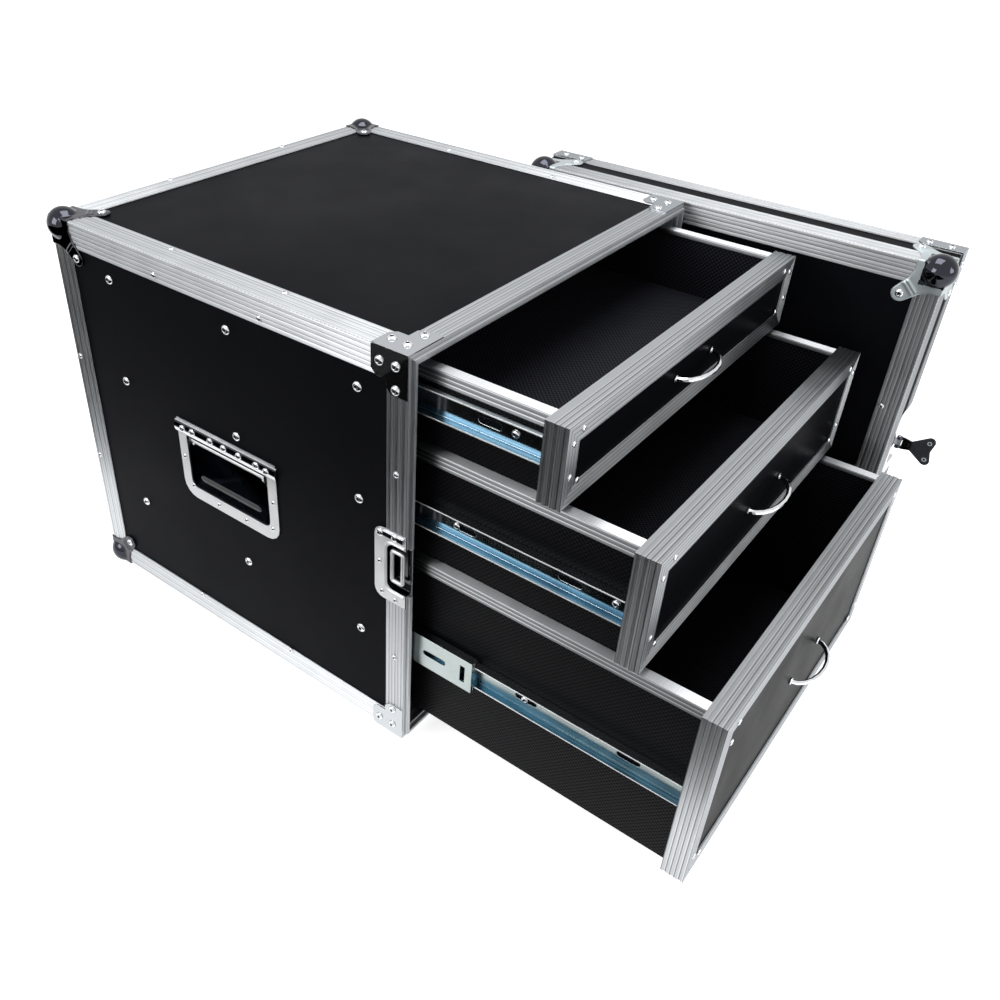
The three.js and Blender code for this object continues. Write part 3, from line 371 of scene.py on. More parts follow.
def emboss_material(colours, pitch):
    """Board with a pressed lattice of small diamonds, laid along whichever face it covers, coloured with painted light
    and shade.
    """
    r = Recipe("embossed_drawer_board", colours.emboss, 0, 0.42, specular_ior_level=0.06)
    place, turned, facing = r.axes(r.place()), r.axes(r.normal()), r.facing()
    # Painted light: the lining inside the tray is painted paler than the same board outside.
    outward = r.math("GREATER_THAN", r.math("MULTIPLY", place[0], turned[0]), 0.02)
    behind, below = r.math("GREATER_THAN", turned[1], 0.5), r.math("LESS_THAN", turned[2], -0.5)
    outside = r.math("MAXIMUM", outward, r.math("MAXIMUM", behind, below))
    u = r.pick(r.math("GREATER_THAN", facing[0], 0.5), place[1], place[0])
    v = r.pick(r.math("GREATER_THAN", facing[2], 0.5), place[1], place[2])
    waves = [r.math("SINE", r.math("MULTIPLY", r.math(way, u, v), math.pi / pitch)) for way in ("ADD", "SUBTRACT")]
    knob = r.math("ABSOLUTE", r.math("MULTIPLY", *waves))
    r.bump(knob, 0.5 * MM, 0.6)
    # Painted shade and highlight: the lattice is painted darker in its grooves and paler on its knobs.
    board = r.mix(knob, shade(colours.emboss, 0.2), shade(colours.emboss, 2.8))
    lining = r.mix(knob, shade(colours.emboss, 0.8), shade(colours.emboss, 11))
    r.tint(outside, lining, board)
    r.gloss(knob, 0, 1, 0.5, 0.3)
    return r


def metal_material(name, color, roughness, blotch=0.12, depth=GRAIN, uneven=0.2):
    """Plated or anodised metal: a fine grain, uneven gloss and slightly uneven colour."""
    r = Recipe(name, color, 1, roughness)
    cloud = r.noise(28, 4)
    if depth:
        r.bump(r.noise(900, 2), depth)
    r.gloss(cloud, 0.3, 0.7, roughness * (1 - uneven), roughness * (1 + uneven))
    spread = r.remap(cloud, 0.3, 0.7, 0, 1)
    r.tint(spread, shade(color, 1 - blotch), shade(color, 1 + blotch / 2))
    return r


def drawn_ribs(r, across, brushed, pitch, shown=None, depth=0.6):
    """Fine ribs of a drawn section, across their run, and its gloss, which is stretched the same way; the grooves carry
    painted shade and a line beside each a painted highlight.
    """
    color = tuple(r.shader.inputs["Base Color"].default_value)[:3]
    phase = r.math("MULTIPLY", across, 2 * math.pi / pitch)
    # Painted shade: the grooves are painted darker; painted highlight: a bright line is painted beside each groove.
    groove_shade = r.remap(r.math("COSINE", phase), 0.55, 1.0, 0, 1)
    rib_highlight = r.remap(r.math("COSINE", r.math("SUBTRACT", phase, 1.5)), 0.6, 1.0, 0, 1)
    if shown is not None:
        groove_shade, rib_highlight = r.math("MULTIPLY", groove_shade, shown), r.math("MULTIPLY", rib_highlight, shown)
    ribs = r.math("DIVIDE", across, pitch)
    streak = r.node("ShaderNodeTexNoise", None, ribs, 3.0, noise_dimensions="1D").outputs["Fac"]
    skin = r.mix(r.remap(streak, 0.35, 0.65, 0, 0.3), r.joined(), shade(color, 0.72))
    r.bump(r.math("SUBTRACT", 1.0, groove_shade), 0.3 * MM, 0.7)
    lined = r.mix(r.math("MULTIPLY", groove_shade, depth), skin, shade(color, 0.3))
    r.tint(r.math("MULTIPLY", rib_highlight, 0.7), lined, shade(color, 1.3))
    r.set("Anisotropic", 0.88)
    r.set("Specular Tint", (0.5, 0.52, 0.55, 1))
    r.join(brushed, "Tangent")
    return r


def unit(axis):
    """The way along an axis, as a colour that a Mix node takes."""
    return tuple(1.0 if i == axis else 0.0 for i in range(3)) + (1.0,)


def extrusion_material(name, color, box, leg, shown=None):
    """Drawn aluminium whose fine ribs follow the nearest outer edge of the box."""
    r = metal_material(name, color, 0.48, depth=0, blotch=0.05, uneven=0.08)
    facing, place = r.facing(), r.axes(r.place())
    across = brushed = None
    for axis, (low, high) in enumerate(zip(*box)):
        # Along its own facing an axis never counts as the way across.
        inset = r.math("ADD", r.inset(place[axis], low, high), r.math("GREATER_THAN", facing[axis], 0.6))
        if across is None:
            across, brushed = inset, unit(axis)
        else:
            brushed = r.mix(r.math("LESS_THAN", inset, across), brushed, unit(axis))
            across = r.math("MINIMUM", across, inset)
    return drawn_ribs(r, across, brushed, leg / RIBS_PER_LEG, shown(r) if shown else None)


def braced_material(name, colours, box, leg, axes, tone=1.0):
    """The rail's drawn aluminium, and plain bright zinc where its braces stand proud of the outer planes."""

    def proud(r):
        place, outside = r.axes(r.place()), 0.0
        for axis in axes:
            for way, plane in (("LESS_THAN", box[0][axis] - 0.15 * MM), ("GREATER_THAN", box[1][axis] + 0.15 * MM)):
                outside = r.math("MAXIMUM", outside, r.math(way, place[axis], plane))
        return outside

    # The tone paints the rail's aluminium lighter or darker, as painted light or painted shade.
    color = shade(colours.aluminium, tone)[:3]
    r = extrusion_material(name, color, box, leg, lambda r: r.math("SUBTRACT", 1.0, proud(r)))
    plain = proud(r)
    r.tint(plain, r.joined(), (*colours.zinc, 1))
    r.join(r.pick(plain, 0.13, r.joined("Roughness")), "Roughness")
    return r


def drawer_angle_material(colours, drawer, pitch):
    """The drawer's angle: ribs along its lip, its front part and its ends, and along the trim on the tray's rim."""
    low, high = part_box(f"{drawer}_drawer_frame")
    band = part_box(f"{drawer}_drawer_board")[1].y - low.y
    r = metal_material(f"{drawer}_drawer_aluminium", colours.aluminium, 0.47, depth=0, blotch=0.05, uneven=0.08)
    facing, place = r.facing(), r.axes(r.place())
    from_side = r.inset(place[0], low.x, high.x)
    from_level = r.inset(place[2], low.z, high.z)
    from_front = r.math("SUBTRACT", place[1], low.y)
    before = r.math("LESS_THAN", from_front, band)
    ahead, aside, level = (r.math("GREATER_THAN", facing[axis], 0.6) for axis in (1, 0, 2))
    across = r.pick(ahead, r.math("MINIMUM", from_side, from_level), from_front)
    across = r.pick(aside, r.pick(before, from_front, from_level), across)
    # The gloss is stretched across the run: along x or z on the lip, along y or z on the ends, along y or x above.
    brushed = r.mix(before, unit(0), unit(1))
    brushed = r.mix(ahead, brushed, r.mix(r.math("LESS_THAN", from_side, from_level), unit(2), unit(0)))
    brushed = r.mix(aside, brushed, r.mix(before, unit(2), unit(1)))
    # Painted shade: the trim's sides are painted darker, which shows between their ribs.
    trim = r.math("MULTIPLY", aside, r.math("SUBTRACT", 1.0, before))
    r.tint(trim, r.joined(), shade(colours.aluminium, 0.3))
    # The tray's rim and the back third of the front's upper face are smooth.
    behind = r.math("GREATER_THAN", from_front, band * 0.66)
    shown = r.math("SUBTRACT", 1.0, r.math("MULTIPLY", level, behind))
    return drawn_ribs(r, across, brushed, pitch, shown, 0.85)


def slide_channel_material(colours):
    """Blue passivated steel inside the slides' channels, with dark and bright streaks along its run as painted
    reflections of the balls and folds.
    """
    r = metal_material("slide_blue_channel", colours.slide_blue, 0.26, blotch=0.2, depth=FINE_GRAIN)
    streak = r.noise(1.0, 1.0, (420, 2, 420))
    # Painted reflection: dark and bright streaks stand in for the reflected balls and folds.
    dark, bright = r.remap(streak, 0.3, 0.42, 1, 0), r.remap(streak, 0.52, 0.62, 0, 1)
    color = r.mix(r.math("MULTIPLY", dark, 0.7), r.joined(), shade(colours.slide_blue, 0.3))
    r.tint(bright, color, (0.17, 0.28, 0.34, 1))
    return r


def dish_floor_material():
    """The handle dish's back wall, painted a dull dark blue-grey as a painted reflection of the grip before it."""
    r = Recipe("dish_floor_painted_reflection", (0.014, 0.018, 0.028), 0, 0.3, specular_ior_level=0.3)
    r.tint(r.noise(28, 3), (0.04, 0.05, 0.08, 1), (0.09, 0.11, 0.16, 1))
    r.gloss(r.noise(60, 2), 0.3, 0.7, 0.24, 0.38)
    return r


def rubber_material():
    """Moulded rubber of the handles' grips."""
    r = Recipe("moulded_rubber", (0.035, 0.036, 0.04), 0, 0.5)
    r.bump(r.noise(1100, 2), 0.08 * MM, 0.6)
    r.gloss(r.noise(60, 3), 0.3, 0.7, 0.42, 0.6)
    return r


def wing_material(end):
    """Mirror plating painted dark as a painted reflection, with a bright eyelet painted on each lobe of the wing and at
    its root.
    """
    r = metal_material(f"{end}_wing_plating", *METALS["dark_chrome"][1:])
    low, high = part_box(f"{end}_latch_wing")
    tip, root, inward = (low.y, high.y, 1) if end == "near" else (high.y, low.y, -1)
    middle = (low.z + high.z) / 2
    eyelets = [(tip + inward * 6.5 * MM, middle + side * 11.5 * MM, 2.8 * MM) for side in (1, -1)]
    eyelets.append((root - inward * 13 * MM, middle, 3.2 * MM))
    across = r.vector("MULTIPLY", r.place(), (0, 1, 1))
    color = r.joined()
    for y, z, radius in eyelets:
        away = r.node("ShaderNodeVectorMath", across, (0, y, z), operation="DISTANCE").outputs["Value"]
        color = r.mix(r.math("LESS_THAN", away, radius), color, (*BRIGHT, 1))
        color = r.mix(r.math("LESS_THAN", away, radius * 0.5), color, (0.01, 0.01, 0.011, 1))
    r.join(color, "Base Color")
    return r


def rivet_material():
    """Chromed rivet heads whose hollow middle, marked by the attribute pin, is painted near-black as painted shade."""
    r = Recipe("rivet_chrome", BRIGHT, 1, 0.16)
    hollow_shade = r.node("ShaderNodeAttribute", attribute_name="hollow_shade").outputs["Fac"]
    # Painted shade: the hollow's faces are painted near-black.
    r.tint(hollow_shade, (*BRIGHT, 1), (0.02, 0.02, 0.022, 1))
    r.gloss(r.noise(700, 2), 0.3, 0.7, 0.1, 0.24)
    return r


def material(name):
    """The finished material of that name, made the first time it is asked for."""
    if name not in MATERIALS:
        colours = bpy.context.scene.flightcase_colours
        sizes = bpy.context.scene.flightcase_sizes
        # Painted light and shade: the case's extrusions are painted brighter and the lid's darker, though they are one
        # aluminium.
        case_lit_color, lid_shaded_color = (shade(colours.aluminium, tone)[:3] for tone in (CASE_LIT_TONE, LID_SHADED_TONE))
        makers = {
            "laminate": lambda: laminate_material(colours),
            "side": lambda: side_material(colours),
            "board": lambda: board_material(colours),
            "emboss": lambda: emboss_material(colours, sizes.emboss_pitch),
            "case_edge": lambda: extrusion_material("case_edge_aluminium", case_lit_color, CASE_BOX, CASE_LEG),
            "lid_edge": lambda: extrusion_material("lid_edge_aluminium", lid_shaded_color, LID_BOX, LID_LEG),
            "case_rail": lambda: braced_material("case_rail_and_braces", colours, CASE_BOX, RAIL_DEPTH, (0, 2)),
            "lid_rail": lambda: braced_material(
                "lid_rail_and_braces", colours, LID_BOX, LID_RAIL_DEPTH, (1, 2), LID_SHADED_TONE
            ),
            **{
                f"{drawer}_angle": lambda drawer=drawer: drawer_angle_material(colours, drawer, sizes.rib_pitch)
                for drawer in DRAWERS
            },
            **{f"{end}_wing": lambda end=end: wing_material(end) for end in ("near", "far")},
            **{metal: lambda row=row: metal_material(*row) for metal, row in METALS.items()},
            "zinc": lambda: metal_material("bright_zinc", colours.zinc, 0.24, 0.2),
            "slide": lambda: metal_material("slide_steel", colours.slide, 0.14, 0.12, FINE_GRAIN),
            "channel": lambda: slide_channel_material(colours),
            "dish_floor": dish_floor_material,
            "rubber": rubber_material,
            "rivet": rivet_material,
        }
        MATERIALS[name] = makers[name]().material
    return MATERIALS[name]


def paint(node, name):
    """Gives a CAD node its material."""
    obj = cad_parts[node]
    obj.data.materials.clear()
    obj.data.materials.append(material(name))


# Mesh helpers


def linked(name, data):
    obj = bpy.data.objects.new(name, data)
    bpy.context.scene.collection.objects.link(obj)
    return obj


def new_object(name, mesh, material_name, body):
    """A piece of the case, on its body and with its slot."""
    obj = linked(name, mesh)
    if material_name:
        mesh.materials.clear()
        mesh.materials.append(material(material_name))
    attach(obj, body)
    return obj


def softened(node, material_name, body, angle=30, segments=2, width=None):
    """A copy of a CAD node with its doubles merged, its edges rounded and its curves smooth, which replaces it."""
    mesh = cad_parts[node].data.copy()
    mesh.name = node + "_finish"
    bm = bmesh.new()
    bm.from_mesh(mesh)
    bmesh.ops.remove_doubles(bm, verts=bm.verts, dist=0.002 * MM)
    bmesh.ops.dissolve_limit(bm, angle_limit=math.radians(0.5), verts=bm.verts, edges=bm.edges)
    bm.to_mesh(mesh)
    bm.free()
    for key in ("custom_normal", "sharp_face"):
        if key in mesh.attributes:
            mesh.attributes.remove(mesh.attributes[key])
    for polygon in mesh.polygons:
        polygon.use_smooth = True
    obj = new_object(node + "_finish", mesh, material_name, body)
    bevel = obj.modifiers.new("edge", "BEVEL")
    bevel.width = width or bpy.context.scene.flightcase_sizes.edge_bevel
    bevel.segments = segments
    bevel.limit_method = "ANGLE"
    bevel.angle_limit = math.radians(angle)
    obj.modifiers.new("shading", "WEIGHTED_NORMAL").keep_sharp = True
    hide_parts(node)
    return obj


def zones(obj, *parts):
    """Gives the faces of a piece that pass a test on their middle and normal another material."""
    mesh = obj.data
    for test, name in parts:
        mesh.materials.append(material(name))
        for polygon in mesh.polygons:
            if test(polygon.center, polygon.normal):
                polygon.material_index = len(mesh.materials) - 1


def sunk(c, n):
    """Whether a face of a let-in fitting lies behind its flange."""
    return abs(c.x) < FLANGE_X - 0.5 * MM


def flange(c, n):
    """Whether a face is one of the flat faces of a let-in fitting's flange."""
    return FLANGE_X - 0.4 * MM < abs(c.x) < FLANGE_X + 0.2 * MM and abs(n.x) > 0.95


def flattened(obj):
    """The object's mesh with its modifiers applied; the object itself is removed."""
    bpy.context.scene.collection.objects.link(obj)
    graph = bpy.context.evaluated_depsgraph_get()
    mesh = bpy.data.meshes.new_from_object(obj.evaluated_get(graph))
    bpy.data.objects.remove(obj)
    return mesh


def corner_template(segments):
    """A ball corner at the origin, inward along the axes: ball, plates and ridges flow together like one pressing."""
    bm = bmesh.new()
    centre = Matrix.Translation((BALL_INSET,) * 3)
    bmesh.ops.create_uvsphere(bm, u_segments=segments, v_segments=segments // 2, radius=BALL_RADIUS, matrix=centre)
    outline = [(-PLATE_RAISED, -PLATE_RAISED), (PLATE_REACH, -PLATE_RAISED)]
    outline += [(PLATE_REACH, PLATE_FLANK), (PLATE_INWARD, PLATE_NARROW)]
    for step in range(13):
        turn = math.radians(15 * step - 45)
        outline.append((LOBE_CENTRE + LOBE_RADIUS * math.cos(turn), LOBE_CENTRE + LOBE_RADIUS * math.sin(turn)))
    outline += [(PLATE_NARROW, PLATE_INWARD), (PLATE_FLANK, PLATE_REACH), (-PLATE_RAISED, PLATE_REACH)]
    slabs = [(outline, -PLATE_RAISED, PLATE_ROOT)]
    w, h = RIDGE_WIDTH / 2 / math.sqrt(2), RIDGE_HALF / math.sqrt(2)
    for place in RIDGE_PLACES:
        u = place / math.sqrt(2)
        bar = [(u - h - w, u + h - w), (u - h + w, u + h + w), (u + h + w, u - h + w), (u + h - w, u - h - w)]
        slabs.append((bar, -PLATE_RAISED - RIDGE_RISE, 0))
    for turn in range(3):
        for shape, *levels in slabs:
            places = [[(a, b, level) for a, b in shape] for level in levels]
            low, high = [[bm.verts.new(place[-turn:] + place[:-turn]) for place in ring] for ring in places]
            for k in range(len(shape)):
                n = (k + 1) % len(shape)
                bm.faces.new((low[k], low[n], high[n], high[k]))
            bm.faces.new(low)
            bm.faces.new(high)
    bmesh.ops.recalc_face_normals(bm, faces=bm.faces)
    mesh = bpy.data.meshes.new("ball_corner")
    bm.to_mesh(mesh)
    bm.free()
    obj = bpy.data.objects.new("ball_corner", mesh)
    blend = obj.modifiers.new("pressing", "REMESH")
    blend.mode, blend.voxel_size, blend.use_smooth_shade = "VOXEL", 0.85 * MM, True
    soft = obj.modifiers.new("soften", "SMOOTH")
    soft.factor, soft.iterations = 0.5, 7
    return flattened(obj)


def corner_of(node):
    """The outer corner that a ball corner sits on, and the way inward along each axis."""
    low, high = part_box(node)
    outer = LID_BOX if node.startswith("lid") else CASE_BOX
    home = (outer[0] + outer[1]) / 2
    signs = [1 if (low[i] + high[i]) / 2 < home[i] else -1 for i in range(3)]
    proud = BALL_RADIUS - BALL_INSET
    return Vector([low[i] + proud if signs[i] > 0 else high[i] - proud for i in range(3)]), signs


def lobe_rivets(node, radius):
    """The rivets in the three lobes of a ball corner."""
    corner, signs = corner_of(node)
    places = []
    for axis in range(3):
        inward = [LOBE_CENTRE] * 3
        inward[axis] = -PLATE_RAISED + 0.1 * MM
        facing = [0, 0, 0]
        facing[axis] = -signs[axis]
        places.append((corner + Vector([s * i for s, i in zip(signs, inward)]), facing, radius))
    return places


def bead(name, points, radius, closed):
    """A round satin bead along a path on the case, as a closed mesh."""
    curve = bpy.data.curves.new(name + "_path", "CURVE")
    curve.dimensions = "3D"
    spline = curve.splines.new("POLY")
    spline.points.add(len(points) - 1)
    for point, place in zip(spline.points, points):
        point.co = (*place, 1)
    spline.use_cyclic_u = closed
    curve.bevel_depth, curve.bevel_resolution, curve.use_fill_caps = radius, 3, True
    mesh = flattened(bpy.data.objects.new(name + "_path", curve))
    mesh.name = name
    for polygon in mesh.polygons:
        polygon.use_smooth = True
    return new_object(name, mesh, "satin", "case")


def rounded_path(corners, radius, closed):
    """Places along straight runs between corners, each turned with a small arc."""
    points, count, steps = [], len(corners), 5
    for i, corner in enumerate(corners):
        if not closed and i in (0, count - 1):
            points.append(corner)
            continue
        before = (corners[i - 1] - corner).normalized() * radius
        after = (corners[(i + 1) % count] - corner).normalized() * radius
        for k in range(steps + 1):
            t = k / steps
            points.append(corner + before * (1 - t) ** 2 + after * t ** 2)
    return points


# Rivets


def rivet_template():
    """A unit rivet head: a low dome with a rim and a hollow in the middle, its faces marked by the attribute pin."""
    bm = bmesh.new()
    turns = [2 * math.pi * k / RIVET_SIDES for k in range(RIVET_SIDES)]
    rings = [[bm.verts.new((r * math.cos(t), r * math.sin(t), z)) for t in turns] for r, z in RIVET_PROFILE]
    for a, b in zip(rings, rings[1:]):
        for k in range(RIVET_SIDES):
            n = (k + 1) % RIVET_SIDES
            bm.faces.new((a[k], a[n], b[n], b[k]))
    bm.faces.new(rings[-1])
    bm.faces.new(reversed(rings[0]))
    mesh = bpy.data.meshes.new("rivet_head")
    bm.to_mesh(mesh)
    bm.free()
    pins = mesh.attributes.new("hollow_shade", "FLOAT", "FACE")
    for polygon, hollow_shade in zip(mesh.polygons, pins.data):
        hollow_shade.value = float(max(mesh.vertices[v].co.xy.length for v in polygon.vertices) < HOLLOW_SHADE_RADIUS)
        polygon.use_smooth = True
    return bpy.data.objects.new("rivet_head", mesh)


def scatter_tree(template):
    """Geometry nodes that put a head on each point, turned to the point's facing and sized by its radius."""
    tree = bpy.data.node_groups.new("rivets_on_points", "GeometryNodeTree")
    sockets = tree.interface
    sockets.new_socket("Points", in_out="INPUT", socket_type="NodeSocketGeometry")
    sockets.new_socket("Size", in_out="INPUT", socket_type="NodeSocketFloat").default_value = 1.0
    sockets.new_socket("Rivets", in_out="OUTPUT", socket_type="NodeSocketGeometry")
    start, end = add_node(tree, "NodeGroupInput"), add_node(tree, "NodeGroupOutput")
    info = add_node(tree, "GeometryNodeObjectInfo", template)
    facing = add_node(tree, "GeometryNodeInputNamedAttribute", "facing", data_type="FLOAT_VECTOR")
    radius = add_node(tree, "GeometryNodeInputNamedAttribute", "radius", data_type="FLOAT")
    turn = add_node(tree, "FunctionNodeAlignRotationToVector", axis="Z")
    size = add_node(tree, "ShaderNodeMath", operation="MULTIPLY")
    put = add_node(tree, "GeometryNodeInstanceOnPoints")
    real = add_node(tree, "GeometryNodeRealizeInstances")
    finish = add_node(tree, "GeometryNodeSetMaterial", None, None, material("rivet"))
    for source, output, target, socket in (
        (start, "Points", put, "Points"),
        (info, "Geometry", put, "Instance"),
        (facing, "Attribute", turn, "Vector"),
        (turn, "Rotation", put, "Rotation"),
        (radius, "Attribute", size, 0),
        (start, "Size", size, 1),
        (size, 0, put, "Scale"),
        (put, "Instances", real, "Geometry"),
        (real, "Geometry", finish, "Geometry"),
        (finish, "Geometry", end, "Rivets"),
    ):
        tree.links.new(source.outputs[output], target.inputs[socket])
    return tree


def rivets(name, places, body):
    """Rivet heads at (place, facing, radius) as one piece on one body."""
    template = rivet_template()
    tree = scatter_tree(template)
    spots, facings, radii = zip(*places)
    mesh = bpy.data.meshes.new(name)
    mesh.from_pydata(spots, [], [])
    parts = [part for facing in facings for part in facing]
    mesh.attributes.new("facing", "FLOAT_VECTOR", "POINT").data.foreach_set("vector", parts)
    mesh.attributes.new("radius", "FLOAT", "POINT").data.foreach_set("value", radii)
    carrier = bpy.data.objects.new(name + "_points", mesh)
    modifier = carrier.modifiers.new("rivets", "NODES")
    modifier.node_group = tree
    modifier[next(s.identifier for s in tree.interface.items_tree if s.name == "Size")] = 1.0
    made = flattened(carrier)
    made.name = name
    bpy.data.objects.remove(template)
    return new_object(name, made, None, body)


def heads(facing, radius, places):
    """Rivets that face the same way, at places in mm."""
    return [(bench(*place), facing, radius) for place in places]


def mirrored_places(places):
    """The same rivets on the case's other side."""
    return [(Vector((-p.x, p.y, p.z)), (-f[0], f[1], f[2]), r) for p, f, r in places]


def case_rivets(small, medium, large):
    """Rivets of the case's panels, edges, braces, ball corners, handles and keepers."""
    half = (CASE_HIGH.x - CASE_LOW.x) / MM / 2
    depth, height = (CASE_HIGH.y - FRONT) / MM, (CASE_HIGH.z - CASE_LOW.z) / MM
    leftward, rightward = (-1, 0, 0), (1, 0, 0)
    left = heads(leftward, large, [(PANEL_X / MM, y, z) for y in PANEL_RIVETS_Y for z in PANEL_RIVETS_Z])
    edges = [(187, height - 22.7), (344.6, height - 22.7), (176, 28), (336, 28)]
    edges += [(depth - 8.2, 170), (depth - 8.2, 313.9), (13, 120), (13, 360)]
    left += heads(leftward, small, [(-half, y, z) for y, z in edges])
    for y, inward in ((33, 14), (14, 14), (14, 38)):
        left += heads(leftward, medium, [(-half - BRACE_RISE, y, z) for z in (inward, height - inward)])
    for z, up in ((height, 1), (0, -1)):
        left += heads((0, 0, up), small, [(-half + 23.9, 174, z), (-half + 23.9, 340.6, z), (-96, depth - 5, z)])
        braces = [(-half + x, y, z + BRACE_RISE * up) for x, y in ((16.3, 33), (15.4, 14.3), (40, 14.3))]
        left += heads((0, 0, up), medium, braces)
    right = mirrored_places(left)
    # The fittings are the same on both sides, but for the place of the right handle.
    setback = (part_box("right_handle_dish")[0].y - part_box("left_handle_dish")[0].y) / MM
    sheet = half - 0.35
    for places, x, shift, radius in (
        (HANDLE_BAR_RIVETS, half + 2.5, setback, medium * 0.92),
        (HANDLE_FLANGE_RIVETS, sheet, setback, small * 0.9),
        (KEEPER_SCREWS, sheet, 0, medium),
        (KEEPER_RIVETS, sheet, 0, small * 0.9),
    ):
        left += heads(leftward, radius, [(-x, y, z) for y, z in places])
        right += heads(rightward, radius, [(x, y + shift, z) for y, z in places])
    for node in BALL_CORNERS:
        if not node.startswith("lid"):
            left += lobe_rivets(node, medium)
    rivets("case_rivets", left + right, "case")


def lid_rivets(small, medium):
    """Rivets of the lid's ball corners, outer edges and braces."""
    lid = [place for node in BALL_CORNERS if node.startswith("lid") for place in lobe_rivets(node, medium)]
    proud, x = BRACE_RISE * MM, LID_MATING - 12 * MM
    for y, up in ((LID_LOW.y, -1), (LID_HIGH.y, 1)):
        for z in (310, 178):
            lid.append((Vector((LID_LOW.x, y - up * 21 * MM, CASE_LOW.z + z * MM)), (-1, 0, 0), small))
        for level, rise in ((LID_LOW.z, 1), (LID_HIGH.z, -1)):
            for inward in (14 * MM, 38 * MM):
                lid.append((Vector((x, y + up * proud, level + rise * inward)), (0, up, 0), medium * 0.85))
                lid.append((Vector((x, y - up * inward, level - rise * proud)), (0, 0, -rise), medium * 0.85))
    rivets("lid_rivets", lid, "lid")


def lip_rivets(name, radius):
    """Rivets of a drawer's lip, each at its measured place but always on the lip."""
    low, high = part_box(f"{name}_drawer_frame")
    places = heads((0, -1, 0), radius, [(x, 0, z) for x, z in LIP_RIVETS[name]])
    for spot, _, _ in places:
        spot.x = math.copysign(min(abs(spot.x), high.x - LIP_RIM), spot.x)
        spot.z = max(low.z + LIP_RIM, min(high.z - LIP_RIM, spot.z))
        spot.y = low.y
    rivets(f"{name}_drawer_rivets", places, f"{name}_drawer")


def slide_screws(name, radius):
    """Screw heads on the webs of the drawer members."""
    low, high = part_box(f"{name}_left_drawer_slide")
    x, z = high.x - 1.65 * MM, (low.z + high.z) / 2
    places = []
    for y in SLIDE_SCREWS[name]:
        for sign in (1, -1):
            places.append((Vector((sign * x, FRONT + y * MM, z)), (-sign, 0, 0), radius * 0.85))
    rivets(f"{name}_slide_screws", places, f"{name}_drawer")


# Fittings


def finish_handle(side):
    """A satin flange round a mirror dish whose recess is painted darker as painted shade, under a half-round hinge bar
    of mirror plating whose slanting faces are painted dark as a painted reflection.
    """
    dish = softened(f"{side}_handle_dish", "mirror", "case", width=0.8 * MM, segments=3)
    zones(
        dish,
        # Painted shade: faces behind the flange take a darker zinc; the hinge bar's slanting faces take dark plating as
        # a painted reflection.
        (sunk, "inner_zinc"),
        # Painted reflection: the dish's back wall takes a paint that stands in for the grip mirrored in it.
        (lambda c, n: sunk(c, n) and abs(n.x) > 0.8, "dish_floor"),
        (flange, "satin"),
        (lambda c, n: abs(c.x) > FLANGE_X + 0.3 * MM and 0.05 < n.z < 0.8, "dark_chrome"),
    )
    softened(f"{side}_handle_bail", "satin", f"{side}_handle", width=0.9 * MM, segments=3)
    softened(f"{side}_handle_grip", "rubber", f"{side}_handle", width=1.2 * MM)


def finish_keeper(side, out):
    """A satin flange, a mirror cup painted dark inside as painted shade, with a bead round it, and a strap across the
    cup.
    """
    piece = softened(f"{side}_latch_keeper", "mirror", "case")
    # Painted shade: the cup's faces behind the flange take dark plating.
    zones(piece, (sunk, "dark_chrome"), (flange, "satin"))
    low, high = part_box(f"{side}_latch_keeper")
    middle = (low.z + high.z) / 2
    for part, x, outline, turn, radius, closed in (
        ("bead", FLANGE_X + 0.2 * MM, ((1.5, 31.8), (26.6, 31.8), (26.6, -31.8), (1.5, -31.8)), 9, 1.5, False),
        ("strap", FLANGE_X - 3.2 * MM, ((6, 20), (20, 20), (20, -19), (6, -19)), 3, 2.3, True),
    ):
        corners = [Vector((out * x, FRONT + y * MM, middle + z * MM)) for y, z in outline]
        bead(f"{side}_keeper_{part}", rounded_path(corners, turn * MM, closed), radius * MM, closed)


def finish_slide(node, body, web):
    """A member with blue lower channels, bright upper folds and satin lips."""
    low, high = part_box(node)
    middle, reach = (low.z + high.z) / 2, (high.z - low.z) * 0.4
    outer = max(abs(low.x), abs(high.x)) - 0.4 * MM
    zones(
        softened(node, web, body),
        (lambda c, n: n.z > 0.5 and c.z < middle, "channel"),
        (lambda c, n: c.z > middle and abs(n.z) > 0.5, "slide"),
        (lambda c, n: abs(c.x) > outer and abs(n.x) > 0.7 and abs(c.z - middle) > reach, "satin"),
    )


# Studio


def studio_sheet(name, outline, level, recipe):
    """A flat sheet of the studio."""
    mesh = bpy.data.meshes.new(name)
    mesh.from_pydata([(x, y, level) for x, y in outline], [], [tuple(range(len(outline)))])
    mesh.materials.append(recipe.material)
    obj = linked(name, mesh)
    return obj


def add_camera(scene):
    """The photograph's camera."""
    azimuth, elevation, roll = (math.radians(angle) for angle in CAMERA_TURN)
    level = math.cos(elevation)
    ahead = Vector((level * math.cos(azimuth), level * math.sin(azimuth), math.sin(elevation)))
    right = ahead.cross(Vector((0, 0, 1))).normalized()
    up = right.cross(ahead)
    right, up = right * math.cos(roll) + up * math.sin(roll), up * math.cos(roll) - right * math.sin(roll)
    data = bpy.data.cameras.new("photo_camera")
    data.sensor_width, data.lens = 36, CAMERA_LENS
    data.shift_x, data.shift_y = CAMERA_SHIFT
    data.clip_start = 0.01
    camera = linked("photo_camera", data)
    camera.matrix_world = Matrix((right, up, -ahead)).transposed().to_4x4()
    camera.location = bench(*CAMERA_PLACE)
    scene.camera = camera


